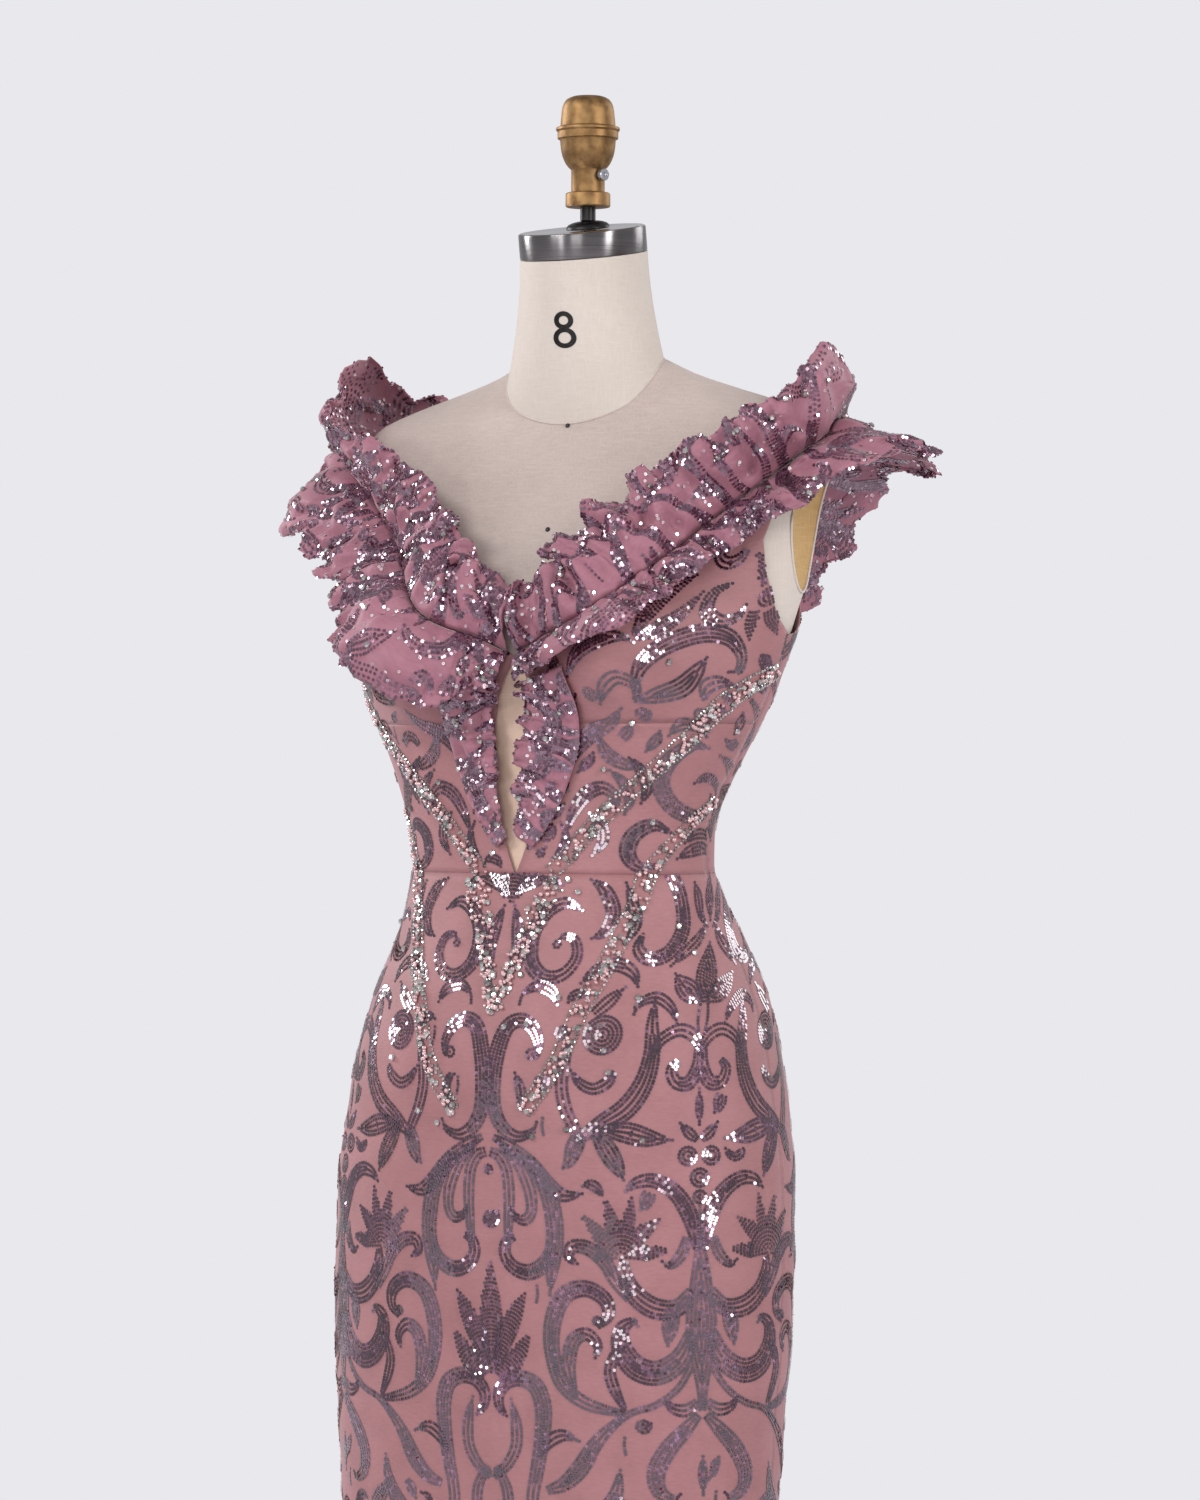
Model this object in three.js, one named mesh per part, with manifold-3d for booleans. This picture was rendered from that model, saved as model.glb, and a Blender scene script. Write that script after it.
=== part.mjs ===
// Evening gown on its limbless dress form, standing on a pole and a round base.
// Millimetres, +Z up. The front faces -Y, and the form's left side lies at +X.
// The origin is the centre of the base's underside, on the floor.

import * as THREE from "three";
import { mergeVertices } from "three/addons/utils/BufferGeometryUtils.js";
import Module from "manifold-3d";

const wasm = await Module();
wasm.setup();

// Driving dimensions

const TORSO_BOTTOM = 750;
const TORSO_TOP = 1476;
const HEM_Z = 12;
const WAIST_Z = 1080;
const UNDERBUST_Z = 1195.5;
const ZIP_END_Z = 900;
const BACK_V_Z = 1198;

const WALL_INSIDE = 2.7;
const WALL_OUTSIDE = 4.4;
const SEAM_INSET = 0.2;
const ZIP_HALF_WIDTH = 1.6;
const FLOUNCE_WALL = 1.2;
const FLOUNCE_LIFT_OFF = 1.5;
const CENTRE_CLEAR_ANGLE = 0.9;
const SEWN_CLEAR = 1.0;
const WALK_STEP = 6;

const BASE_RADIUS = 190;
const BASE_THICKNESS = 12;
const BOSS_RADIUS = 26;
const BOSS_TOP = 42;
const POLE_RADIUS = 15;
const MEETING_GAP = 0.3;

const NECK = {
  baseZ: 1420, topZ: 1557, baseY: 40, topY: 30, baseHalf: 79, baseDepth: 43, topRadius: 49.5, flare: 1.6,
};
const HEAD_TILT = THREE.MathUtils.degToRad(10);
const CAP = { radius: 49.5, height: 20, y: 30 };
const FINIAL_Y = 37;
const FINIAL_BOTTOM = 1595;
const ARM_RECESS = { x: 190, y: 42, z: 1344, depth: 22, halfWidth: 33, halfHeight: 53, lean: 8 };

// Form surface: a row per level, half width, front and back edge in Y, and the section's squareness
const BODY_SECTIONS = [
  { z: HEM_Z, half: 292, front: -248, back: 264, power: 2.0 },
  { z: 90, half: 262, front: -218, back: 228, power: 2.0 },
  { z: 200, half: 222, front: -174, back: 172, power: 2.0 },
  { z: 330, half: 184, front: -134, back: 118, power: 2.05 },
  { z: 450, half: 168, front: -114, back: 92, power: 2.1 },
  { z: 600, half: 174, front: -115, back: 88, power: 2.15 },
  { z: 750, half: 182, front: -118, back: 103, power: 2.15 },
  { z: 830, half: 181, front: -121, back: 114, power: 2.15 },
  { z: 905, half: 171, front: -123, back: 128, power: 2.15 },
  { z: 945, half: 163, front: -121, back: 131, power: 2.15 },
  { z: 985, half: 152, front: -111, back: 126, power: 2.15 },
  { z: 1020, half: 137, front: -99, back: 114, power: 2.15 },
  { z: 1060, half: 123, front: -86, back: 86, power: 2.15 },
  { z: 1085, half: 118, front: -79, back: 67, power: 2.15 },
  { z: 1110, half: 119, front: -78, back: 64, power: 2.15 },
  { z: 1140, half: 128, front: -78, back: 68, power: 2.15 },
  { z: 1175, half: 144, front: -76, back: 76, power: 2.15 },
  { z: 1210, half: 161, front: -72, back: 84, power: 2.15 },
  { z: 1245, half: 173, front: -70, back: 95, power: 2.15 },
  { z: 1275, half: 180, front: -66, back: 103, power: 2.2 },
  { z: 1305, half: 187, front: -53, back: 107, power: 2.25 },
  { z: 1345, half: 196, front: -35, back: 108, power: 2.3 },
  { z: 1385, half: 202, front: -19, back: 106, power: 2.3 },
  { z: 1412, half: 200, front: -9, back: 101, power: 2.2 },
  { z: 1428, half: 187, front: -2, back: 97, power: 2.0 },
  { z: 1440, half: 160, front: 4, back: 94, power: 1.8 },
  { z: 1452, half: 122, front: 8, back: 92, power: 1.7 },
  { z: 1464, half: 86, front: 12, back: 90, power: 1.8 },
  { z: 1476, half: 60, front: 14, back: 86, power: 2.0 },
];
const BUST = { height: 44, x: 84, z: 1246, widthX: 54, above: 64, below: 50 };

// Levels at which the torso is sectioned
const TORSO_LEVELS = [
  750, 800, 850, 899, 945, 985, 1020, 1050, 1080, 1098, 1115, 1140, 1168, 1195.5, 1220, 1243, 1265, 1290,
  1320, 1360, 1390, 1412, 1424, 1434, 1446, 1458, 1468, 1476,
];
const TORSO_SIDES = 36;

// Skirt levels, from the hem to the waist seam; the pair at the zip's end makes its step
const SKIRT_LEVELS = [
  HEM_Z, 70, 140, 220, 310, 400, 500, 610, 690, 750, 800, 850, 898, 901, 945, 985, 1020, 1050, WAIST_Z,
];

// Keyhole: half angle of the opening at each level
const KEYHOLE = [
  { z: 1080, angle: 0.1 },
  { z: 1098, angle: 2.8 },
  { z: 1115, angle: 4.9 },
  { z: 1140, angle: 5.9 },
  { z: 1168, angle: 6.2 },
  { z: 1195.5, angle: 5.8 },
  { z: 1214, angle: 4.5 },
  { z: 1230, angle: 2.6 },
  { z: 1242, angle: 0.1 },
];

// Bust panel, a row per station from the underbust seam up to the shoulder seam:
// the edge towards centre front, then the edge towards the side
const CUP_EDGES = [
  { inAngle: 5.8, inZ: 1195.5, outAngle: 90, outZ: 1195.5 },
  { inAngle: 4.5, inZ: 1214, outAngle: 90, outZ: 1220 },
  { inAngle: 2.6, inZ: 1230, outAngle: 90, outZ: 1243 },
  { inAngle: 0, inZ: 1244, outAngle: 90, outZ: 1262 },
  { inAngle: 4, inZ: 1251, outAngle: 85, outZ: 1268 },
  { inAngle: 8, inZ: 1256, outAngle: 80, outZ: 1274 },
  { inAngle: 14, inZ: 1262, outAngle: 76, outZ: 1282 },
  { inAngle: 19, inZ: 1268, outAngle: 72, outZ: 1291 },
  { inAngle: 23.5, inZ: 1279, outAngle: 68.5, outZ: 1300 },
  { inAngle: 27, inZ: 1290, outAngle: 65, outZ: 1309 },
  { inAngle: 34, inZ: 1319, outAngle: 60, outZ: 1331 },
  { inAngle: 43, inZ: 1348, outAngle: 61, outZ: 1356 },
  { inAngle: 56, inZ: 1377, outAngle: 69, outZ: 1381 },
  { inAngle: 73, inZ: 1402, outAngle: 80, outZ: 1399 },
  { inAngle: 82, inZ: 1413, outAngle: 85, outZ: 1403 },
  { inAngle: 90, inZ: 1419, outAngle: 90, outZ: 1404 },
];

// Back bodice, a row per station from the waist seam up to the shoulder seam:
// the edge towards the side, then the edge towards centre back
const BACK_EDGES = [
  { inAngle: 90, inZ: 1080, outAngle: 180, outZ: 1080 },
  { inAngle: 90, inZ: 1110, outAngle: 180, outZ: 1106 },
  { inAngle: 90, inZ: 1140, outAngle: 180, outZ: 1130 },
  { inAngle: 90, inZ: 1172, outAngle: 180, outZ: 1154 },
  { inAngle: 90, inZ: 1204, outAngle: 180, outZ: 1176 },
  { inAngle: 90, inZ: 1236, outAngle: 180, outZ: 1198 },
  { inAngle: 90, inZ: 1262, outAngle: 170, outZ: 1224 },
  { inAngle: 97, inZ: 1264, outAngle: 165, outZ: 1240 },
  { inAngle: 105, inZ: 1270, outAngle: 160, outZ: 1255 },
  { inAngle: 112, inZ: 1279, outAngle: 155, outZ: 1273 },
  { inAngle: 118, inZ: 1290, outAngle: 150, outZ: 1292 },
  { inAngle: 126, inZ: 1320, outAngle: 143, outZ: 1330 },
  { inAngle: 128, inZ: 1350, outAngle: 138, outZ: 1362 },
  { inAngle: 123, inZ: 1380, outAngle: 130, outZ: 1393 },
  { inAngle: 107, inZ: 1400, outAngle: 112, outZ: 1413 },
  { inAngle: 98, inZ: 1403, outAngle: 101, outZ: 1417 },
  { inAngle: 90, inZ: 1404, outAngle: 90, outZ: 1419 },
];

// Gathered seam of the collar flounces, from centre front over the shoulder to the back V
const COLLAR_SEAM = [
  { angle: 1.6, z: 1247 },
  { angle: 8, z: 1256 },
  { angle: 19, z: 1268 },
  { angle: 27, z: 1290 },
  { angle: 34, z: 1319 },
  { angle: 43, z: 1348 },
  { angle: 56, z: 1377 },
  { angle: 73, z: 1402 },
  { angle: 90, z: 1418 },
  { angle: 112, z: 1412 },
  { angle: 130, z: 1392 },
  { angle: 138, z: 1361 },
  { angle: 143, z: 1329 },
  { angle: 150, z: 1291 },
  { angle: 160, z: 1254 },
  { angle: 171, z: 1221 },
];

// Fall of the collar flounces: width and lift in degrees, at fractions of the seam's length
const COLLAR_FALL = {
  left: [
    { at: 0, inner: 40, innerLift: 5, outer: 22, outerLift: 24 },
    { at: 0.06, inner: 50, innerLift: 8, outer: 26, outerLift: 24 },
    { at: 0.15, inner: 62, innerLift: 12, outer: 28, outerLift: 22 },
    { at: 0.3, inner: 56, innerLift: 18, outer: 32, outerLift: 26 },
    { at: 0.4, inner: 52, innerLift: 34, outer: 42, outerLift: 50 },
    { at: 0.48, inner: 42, innerLift: 52, outer: 54, outerLift: 72 },
    { at: 0.56, inner: 42, innerLift: 56, outer: 70, outerLift: 66 },
    { at: 0.66, inner: 48, innerLift: 36, outer: 74, outerLift: 86 },
    { at: 0.8, inner: 48, innerLift: 16, outer: 48, outerLift: 76 },
    { at: 1, inner: 22, innerLift: 10, outer: 18, outerLift: 16 },
  ],
  right: [
    { at: 0, inner: 42, innerLift: 5, outer: 24, outerLift: 24 },
    { at: 0.06, inner: 50, innerLift: 8, outer: 42, outerLift: 20 },
    { at: 0.13, inner: 58, innerLift: 12, outer: 54, outerLift: 18 },
    { at: 0.3, inner: 57, innerLift: 22, outer: 50, outerLift: 26 },
    { at: 0.4, inner: 52, innerLift: 38, outer: 56, outerLift: 42 },
    { at: 0.48, inner: 42, innerLift: 54, outer: 60, outerLift: 52 },
    { at: 0.56, inner: 40, innerLift: 56, outer: 64, outerLift: 60 },
    { at: 0.66, inner: 48, innerLift: 36, outer: 62, outerLift: 74 },
    { at: 0.8, inner: 48, innerLift: 16, outer: 44, outerLift: 60 },
    { at: 1, inner: 22, innerLift: 10, outer: 18, outerLift: 16 },
  ],
};
const COLLAR_WAVES = {
  left: { inner: { count: 14, depth: 9, phase: 0.4 }, outer: { count: 15, depth: 10, phase: 2.1 } },
  right: { inner: { count: 13, depth: 9, phase: 1.7 }, outer: { count: 14, depth: 11, phase: 0.2 } },
};

// Keyhole flounce: its sewn line beside the opening, and the width it falls towards centre front
const KEYHOLE_FLOUNCE = [
  { angle: 6.4, z: 1100, width: 5 },
  { angle: 11.5, z: 1115, width: 13 },
  { angle: 16.5, z: 1138, width: 24 },
  { angle: 19.5, z: 1166, width: 31 },
  { angle: 20.5, z: 1192, width: 37 },
  { angle: 20, z: 1214, width: 41 },
  { angle: 17, z: 1238, width: 40 },
];
// How far each keyhole flounce laps over the opening's edge
const KEYHOLE_LAP = { left: 12, right: 7 };
const KEYHOLE_WAVES = {
  left: { count: 5, depth: 4, phase: 0.6 },
  right: { count: 5, depth: 4, phase: 2.4 },
};

// Lift of the keyhole flounces in degrees, and how far each flounce bows off the cloth
const KEYHOLE_LIFT = 3;
const FLOUNCE_BOW = { inner: 5, outer: 2, keyhole: 0 };
// Uneven gathering: a main wave that drifts along the seam, and a slow one under it
const GATHER = {
  middle: 0.5, swing: 0.38, drift: 0.9, driftTurns: 3.3, slowSwing: 0.12, slowTurns: 0.47, slowPhase: 1.3,
};
// Share of the width that a flounce has in a wave's hollow, and what it gains at the crest
const WAVE_WIDTH = { hollow: 0.92, crestGain: 0.16 };

// Grid fineness of the cloth walls
const SKIRT_COLUMNS = 18;
const BODICE_COLUMNS = 10;
const CUP_COLUMNS = 14;
const STEPS_PER_WAVE = 4;
const FLOUNCE_ROWS = 3;
const TORSO_RECESS_SEGMENTS = 22;

// Materials

const finish = (color, roughness, metalness = 0) =>
  new THREE.MeshStandardMaterial({ color, roughness, metalness });
const sequinCloth = finish(0xa77e7e, 0.6);
const ruffleCloth = finish(0xb8808c, 0.6);
const chestLinen = finish(0xbeafaa, 0.9);
const neckLinen = finish(0xd1c4bb, 0.9);
const brushedSteel = finish(0x8b8688, 0.3, 1);
const blackSteel = finish(0x1c1a1b, 0.4, 0.6);
const brass = finish(0xc39c74, 0.4, 1);
const zinc = finish(0xb4b6bc, 0.3, 1);
const nylonTape = finish(0x9a6f78, 0.6);
const whitePaint = finish(0xd8d6d4, 0.4);

// Curves through tables

// Smooth curve through a table's rows that never overshoots between them
function smoothColumn(rows, key, value) {
  const x = rows.map((row) => row[key]);
  const y = rows.map((row) => row[value]);
  const step = x.slice(1).map((next, i) => next - x[i]);
  const slope = step.map((length, i) => (y[i + 1] - y[i]) / length);
  const tangent = y.map((_, i) => {
    if (i === 0) return slope[0];
    if (i === y.length - 1) return slope[i - 1];
    if (slope[i - 1] * slope[i] <= 0) return 0;
    const before = 2 * step[i] + step[i - 1];
    const after = step[i] + 2 * step[i - 1];
    return (before + after) / (before / slope[i - 1] + after / slope[i]);
  });
  return (at) => {
    const last = x.length - 2;
    let i = 0;
    while (i < last && at > x[i + 1]) i += 1;
    const t = THREE.MathUtils.clamp((at - x[i]) / step[i], 0, 1);
    const rest = 1 - t;
    return (
      y[i] * (1 + 2 * t) * rest * rest +
      tangent[i] * step[i] * t * rest * rest +
      y[i + 1] * t * t * (3 - 2 * t) -
      tangent[i + 1] * step[i] * t * t * rest
    );
  };
}

const bodyHalf = smoothColumn(BODY_SECTIONS, "z", "half");
const bodyFront = smoothColumn(BODY_SECTIONS, "z", "front");
const bodyBack = smoothColumn(BODY_SECTIONS, "z", "back");
const bodyPower = smoothColumn(BODY_SECTIONS, "z", "power");
const keyholeAngle = smoothColumn(KEYHOLE, "z", "angle");

// The form's surface. Angles run from centre front (0) over the left side (90) to centre back (180).

function bodySurface(angle, z) {
  const turn = THREE.MathUtils.degToRad(angle);
  const exponent = 2 / bodyPower(z);
  const across = Math.sin(turn);
  const facing = Math.cos(turn);
  const x = bodyHalf(z) * Math.sign(across) * Math.abs(across) ** exponent;
  const middle = (bodyFront(z) + bodyBack(z)) / 2;
  const depth = (bodyBack(z) - bodyFront(z)) / 2;
  const y = middle - depth * Math.sign(facing) * Math.abs(facing) ** exponent;
  const spread = z > BUST.z ? BUST.above : BUST.below;
  const level = Math.exp(-(((z - BUST.z) / spread) ** 2));
  const mounds = [-1, 1].map((side) => Math.exp(-(((x - side * BUST.x) / BUST.widthX) ** 2)));
  const frontOnly = THREE.MathUtils.clamp(3 * facing, 0, 1);
  return new THREE.Vector3(x, y - BUST.height * level * (mounds[0] + mounds[1]) * frontOnly, z);
}

function bodyFrame(angle, z) {
  const alongAngle = bodySurface(angle + 0.1, z).sub(bodySurface(angle - 0.1, z)).divideScalar(0.2);
  const alongZ = bodySurface(angle, z + 0.5).sub(bodySurface(angle, z - 0.5));
  const normal = alongAngle.clone().cross(alongZ).normalize();
  return { alongAngle, alongZ, normal };
}

function bodyPoint(angle, z, offset) {
  return bodySurface(angle, z).addScaledVector(bodyFrame(angle, z).normal, offset);
}

// Walk over the surface from one place, on a heading, for a length
function walk(start, heading, length) {
  const place = { angle: start.angle, z: start.z };
  const steps = Math.max(1, Math.ceil(length / WALK_STEP));
  for (let i = 0; i < steps; i += 1) {
    const { alongAngle, alongZ, normal } = bodyFrame(place.angle, place.z);
    const way = heading.clone().projectOnPlane(normal).setLength(length / steps);
    const aa = alongAngle.dot(alongAngle);
    const az = alongAngle.dot(alongZ);
    const zz = alongZ.dot(alongZ);
    const wa = way.dot(alongAngle);
    const wz = way.dot(alongZ);
    const det = aa * zz - az * az;
    place.angle += (wa * zz - wz * az) / det;
    place.z = Math.min(place.z + (wz * aa - wa * az) / det, TORSO_TOP - 1);
  }
  return place;
}

// Geometry helpers

function signedVolume(points, faces) {
  let total = 0;
  for (const [a, b, c] of faces) total += points[a].dot(points[b].clone().cross(points[c]));
  return total / 6;
}

function solidGeometry(points, faces) {
  const outward = signedVolume(points, faces) > 0;
  const turned = outward ? faces : faces.map(([a, b, c]) => [a, c, b]);
  const geometry = new THREE.BufferGeometry().setFromPoints(points);
  geometry.setIndex(turned.flat());
  return geometry;
}

function quadFaces(a, b, c, d) {
  return [
    [a, b, c],
    [a, c, d],
  ];
}

// A cloth wall between two grids of points, closed along all four edges
function wallGeometry(outside, inside) {
  const rows = outside.length;
  const columns = outside[0].length;
  const points = [...outside.flat(), ...inside.flat()];
  const out = (i, j) => i * columns + j;
  const back = (i, j) => rows * columns + i * columns + j;
  const faces = [];
  for (let i = 0; i < rows - 1; i += 1) {
    for (let j = 0; j < columns - 1; j += 1) {
      faces.push(...quadFaces(out(i, j), out(i, j + 1), out(i + 1, j + 1), out(i + 1, j)));
      faces.push(...quadFaces(back(i, j), back(i + 1, j), back(i + 1, j + 1), back(i, j + 1)));
    }
  }
  const lastRow = rows - 1;
  const lastColumn = columns - 1;
  for (let j = 0; j < lastColumn; j += 1) {
    faces.push(...quadFaces(out(0, j), back(0, j), back(0, j + 1), out(0, j + 1)));
    faces.push(...quadFaces(out(lastRow, j), out(lastRow, j + 1), back(lastRow, j + 1), back(lastRow, j)));
  }
  for (let i = 0; i < lastRow; i += 1) {
    faces.push(...quadFaces(out(i, 0), out(i + 1, 0), back(i + 1, 0), back(i, 0)));
    faces.push(...quadFaces(
      out(i, lastColumn), back(i, lastColumn), back(i + 1, lastColumn), out(i + 1, lastColumn),
    ));
  }
  return solidGeometry(points, faces);
}

// A closed solid through rings of points, with a flat fan at each end
function loftGeometry(rings) {
  const sides = rings[0].length;
  const points = rings.flat();
  const faces = [];
  for (let i = 0; i < rings.length - 1; i += 1) {
    for (let j = 0; j < sides; j += 1) {
      const next = (j + 1) % sides;
      faces.push(...quadFaces(i * sides + j, i * sides + next, (i + 1) * sides + next, (i + 1) * sides + j));
    }
  }
  const centre = (ring) => ring.reduce((sum, p) => sum.add(p), new THREE.Vector3()).divideScalar(sides);
  const bottom = points.push(centre(rings[0])) - 1;
  const top = points.push(centre(rings[rings.length - 1])) - 1;
  const topStart = (rings.length - 1) * sides;
  for (let j = 0; j < sides; j += 1) {
    const next = (j + 1) % sides;
    faces.push([bottom, next, j]);
    faces.push([top, topStart + j, topStart + next]);
  }
  return solidGeometry(points, faces);
}

// A turned piece about Z: its profile is a list of radius and height pairs
function turnedGeometry(profile, segments) {
  const lathe = new THREE.LatheGeometry(profile.map(([r, h]) => new THREE.Vector2(r, h)), segments);
  return lathe.rotateX(Math.PI / 2);
}

function toManifold(geometry) {
  const bare = geometry.clone();
  for (const name of Object.keys(bare.attributes)) if (name !== "position") bare.deleteAttribute(name);
  const merged = mergeVertices(bare, 1e-4);
  const vertProperties = new Float32Array(merged.attributes.position.array);
  const triVerts = new Uint32Array(merged.index.array);
  return new wasm.Manifold(new wasm.Mesh({ numProp: 3, vertProperties, triVerts }));
}

function fromManifold(solid) {
  const mesh = solid.getMesh();
  const geometry = new THREE.BufferGeometry();
  geometry.setAttribute("position", new THREE.BufferAttribute(new Float32Array(mesh.vertProperties), 3));
  geometry.setIndex(new THREE.BufferAttribute(new Uint32Array(mesh.triVerts), 1));
  return geometry;
}

function named(name, geometry, material) {
  const mesh = new THREE.Mesh(geometry, material);
  mesh.name = name;
  return mesh;
}

const mirrored = (grid, side) => grid.map((row) => row.map((p) => new THREE.Vector3(side * p.x, p.y, p.z)));

// Cloth walls of the gown

// Degrees of the body's angle that span a length at one place
function degreesFor(length, angle, z) {
  return length / bodyFrame(angle, z).alongAngle.length();
}

// A panel between two edges. Each station is a pair of places, already set in from its seams.
function panelGeometry(stations, columns, side) {
  const grid = (offset) =>
    stations.map(({ from, to }) => {
      const row = [];
      for (let j = 0; j <= columns; j += 1) {
        const t = j / columns;
        const angle = THREE.MathUtils.lerp(from.angle, to.angle, t);
        const z = THREE.MathUtils.lerp(from.z, to.z, t);
        row.push(bodyPoint(angle, z, offset));
      }
      return row;
    });
  return wallGeometry(mirrored(grid(WALL_OUTSIDE), side), mirrored(grid(WALL_INSIDE), side));
}

// Half the gap left at centre back: the zip's width down to its end, then a plain seam
function centreBackInset(z) {
  return z > ZIP_END_Z ? ZIP_HALF_WIDTH + MEETING_GAP : SEAM_INSET;
}

function insetPlace(angle, z, isCentreBack) {
  const inset = isCentreBack ? centreBackInset(z) : SEAM_INSET;
  return degreesFor(inset, Math.min(angle, 179), z);
}

// Level of a station, moved off the horizontal seam that its panel starts or ends on
function seamLevel(z, index, count, endsOnSeam) {
  if (index === 0) return z + SEAM_INSET;
  if (endsOnSeam && index === count - 1) return z - SEAM_INSET;
  return z;
}

function skirtFront() {
  const stations = SKIRT_LEVELS.map((level, i) => {
    const z = i === 0 ? level : seamLevel(level, i, SKIRT_LEVELS.length, true);
    const edge = 90 - degreesFor(SEAM_INSET, 90, z);
    return { from: { angle: -edge, z }, to: { angle: edge, z } };
  });
  return named("skirt_front", panelGeometry(stations, SKIRT_COLUMNS, 1), sequinCloth);
}

function skirtBack(name, side) {
  const stations = SKIRT_LEVELS.map((level, i) => {
    const z = i === 0 ? level : seamLevel(level, i, SKIRT_LEVELS.length, true);
    const from = { angle: 90 + degreesFor(SEAM_INSET, 90, z), z };
    const to = { angle: 180 - insetPlace(180, z, true), z };
    return { from, to };
  });
  return named(name, panelGeometry(stations, SKIRT_COLUMNS / 2, side), sequinCloth);
}

function midriff(name, side) {
  const levels = KEYHOLE.map((row) => row.z).filter((z) => z <= UNDERBUST_Z);
  const stations = levels.map((level, i) => {
    const z = seamLevel(level, i, levels.length, true);
    const from = { angle: keyholeAngle(level) + degreesFor(SEAM_INSET, 1, z), z };
    const to = { angle: 90 - degreesFor(SEAM_INSET, 90, z), z };
    return { from, to };
  });
  return named(name, panelGeometry(stations, BODICE_COLUMNS, side), sequinCloth);
}

// Stations from an edge table, both edges set in towards the panel
function edgeStations(rows) {
  return rows.map((row, i) => {
    const inZ = i === 0 ? row.inZ + SEAM_INSET : row.inZ;
    const outZ = i === 0 ? row.outZ + SEAM_INSET : row.outZ;
    const from = row.inAngle + degreesFor(SEAM_INSET, Math.max(row.inAngle, 1), inZ);
    const to = row.outAngle - insetPlace(row.outAngle, outZ, row.outAngle === 180);
    return { from: { angle: from, z: inZ }, to: { angle: to, z: outZ } };
  });
}

// The last station lies along the shoulder seam, so it is set in as a whole
function shoulderStation(row, towards) {
  const angle = 90 + towards * degreesFor(SEAM_INSET, 90, row.inZ);
  return { from: { angle, z: row.inZ }, to: { angle, z: row.outZ } };
}

function strapPanel(name, rows, towards, columns, side) {
  const stations = edgeStations(rows);
  stations[stations.length - 1] = shoulderStation(rows[rows.length - 1], towards);
  return named(name, panelGeometry(stations, columns, side), sequinCloth);
}

// Flounces

// Places along a seam at even steps of its length
function seamPlaces(rows, steps) {
  const knots = rows.map((row) => new THREE.Vector3(row.angle, row.z, 0));
  const curve = new THREE.CatmullRomCurve3(knots, false, "centripetal");
  const fine = 400;
  const samples = Array.from({ length: fine + 1 }, (_, i) => curve.getPoint(i / fine));
  const lengths = [0];
  for (let i = 1; i <= fine; i += 1) {
    const before = bodySurface(samples[i - 1].x, samples[i - 1].y);
    lengths.push(lengths[i - 1] + before.distanceTo(bodySurface(samples[i].x, samples[i].y)));
  }
  const total = lengths[fine];
  const places = [];
  let k = 0;
  for (let i = 0; i <= steps; i += 1) {
    const target = (total * i) / steps;
    while (k < fine - 1 && lengths[k + 1] < target) k += 1;
    const t = THREE.MathUtils.clamp((target - lengths[k]) / (lengths[k + 1] - lengths[k]), 0, 1);
    const point = samples[k].clone().lerp(samples[k + 1], t);
    places.push({ angle: point.x, z: point.y, at: i / steps });
  }
  return places;
}

// An uneven wave between 0 and 1 along a gathered edge
function gatherWave(at, waves) {
  const turn = 2 * Math.PI * waves.count * at + waves.phase;
  const drift = GATHER.drift * Math.sin(2 * Math.PI * at * GATHER.driftTurns + waves.phase);
  const slow = GATHER.slowSwing * Math.sin(GATHER.slowTurns * turn + GATHER.slowPhase);
  return GATHER.middle + GATHER.swing * Math.sin(turn + drift) + slow;
}

// A gathered strip from a seam. `turn` is 1 when it falls to the left of the seam's run, -1 to the right.
// `fall(at)` gives its width and lift in degrees there; `rise` is how far its sewn edge clears the panel.
function flounceGeometry(seam, turn, fall, waves, side, rise, bow) {
  const steps = waves.count * STEPS_PER_WAVE;
  const places = seamPlaces(seam, steps);
  const outside = [];
  const inside = [];
  places.forEach((place, i) => {
    const before = places[Math.max(i - 1, 0)];
    const after = places[Math.min(i + 1, steps)];
    const run = bodySurface(after.angle, after.z).sub(bodySurface(before.angle, before.z));
    const normal = bodyFrame(place.angle, place.z).normal;
    const heading = normal.clone().cross(run).multiplyScalar(turn).normalize();
    const { width, lift } = fall(place.at);
    const wave = gatherWave(place.at, waves);
    const slope = THREE.MathUtils.degToRad(lift);
    const outRow = [];
    const inRow = [];
    for (let j = 0; j <= FLOUNCE_ROWS; j += 1) {
      const t = j / FLOUNCE_ROWS;
      const across = SEWN_CLEAR + width * t * (WAVE_WIDTH.hollow + WAVE_WIDTH.crestGain * wave);
      const foot = walk(place, heading, across * Math.cos(slope));
      foot.angle = Math.max(foot.angle, CENTRE_CLEAR_ANGLE);
      const ripple = waves.depth * wave * t;
      const height = rise + width * t * Math.sin(slope) + ripple + bow * Math.sin(Math.PI * t);
      outRow.push(bodyPoint(foot.angle, foot.z, height + FLOUNCE_WALL));
      inRow.push(bodyPoint(foot.angle, foot.z, height));
    }
    outside.push(outRow);
    inside.push(inRow);
  });
  return wallGeometry(mirrored(outside, side), mirrored(inside, side));
}

function collarFlounce(name, layer, sideName, side) {
  const rows = COLLAR_FALL[sideName];
  const width = smoothColumn(rows, "at", layer);
  const lift = smoothColumn(rows, "at", `${layer}Lift`);
  const turn = layer === "inner" ? 1 : -1;
  const fall = (at) => ({ width: width(at), lift: lift(at) });
  const rise = WALL_OUTSIDE + FLOUNCE_LIFT_OFF;
  const waves = COLLAR_WAVES[sideName][layer];
  const geometry = flounceGeometry(COLLAR_SEAM, turn, fall, waves, side, rise, FLOUNCE_BOW[layer]);
  return named(name, geometry, ruffleCloth);
}

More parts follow.
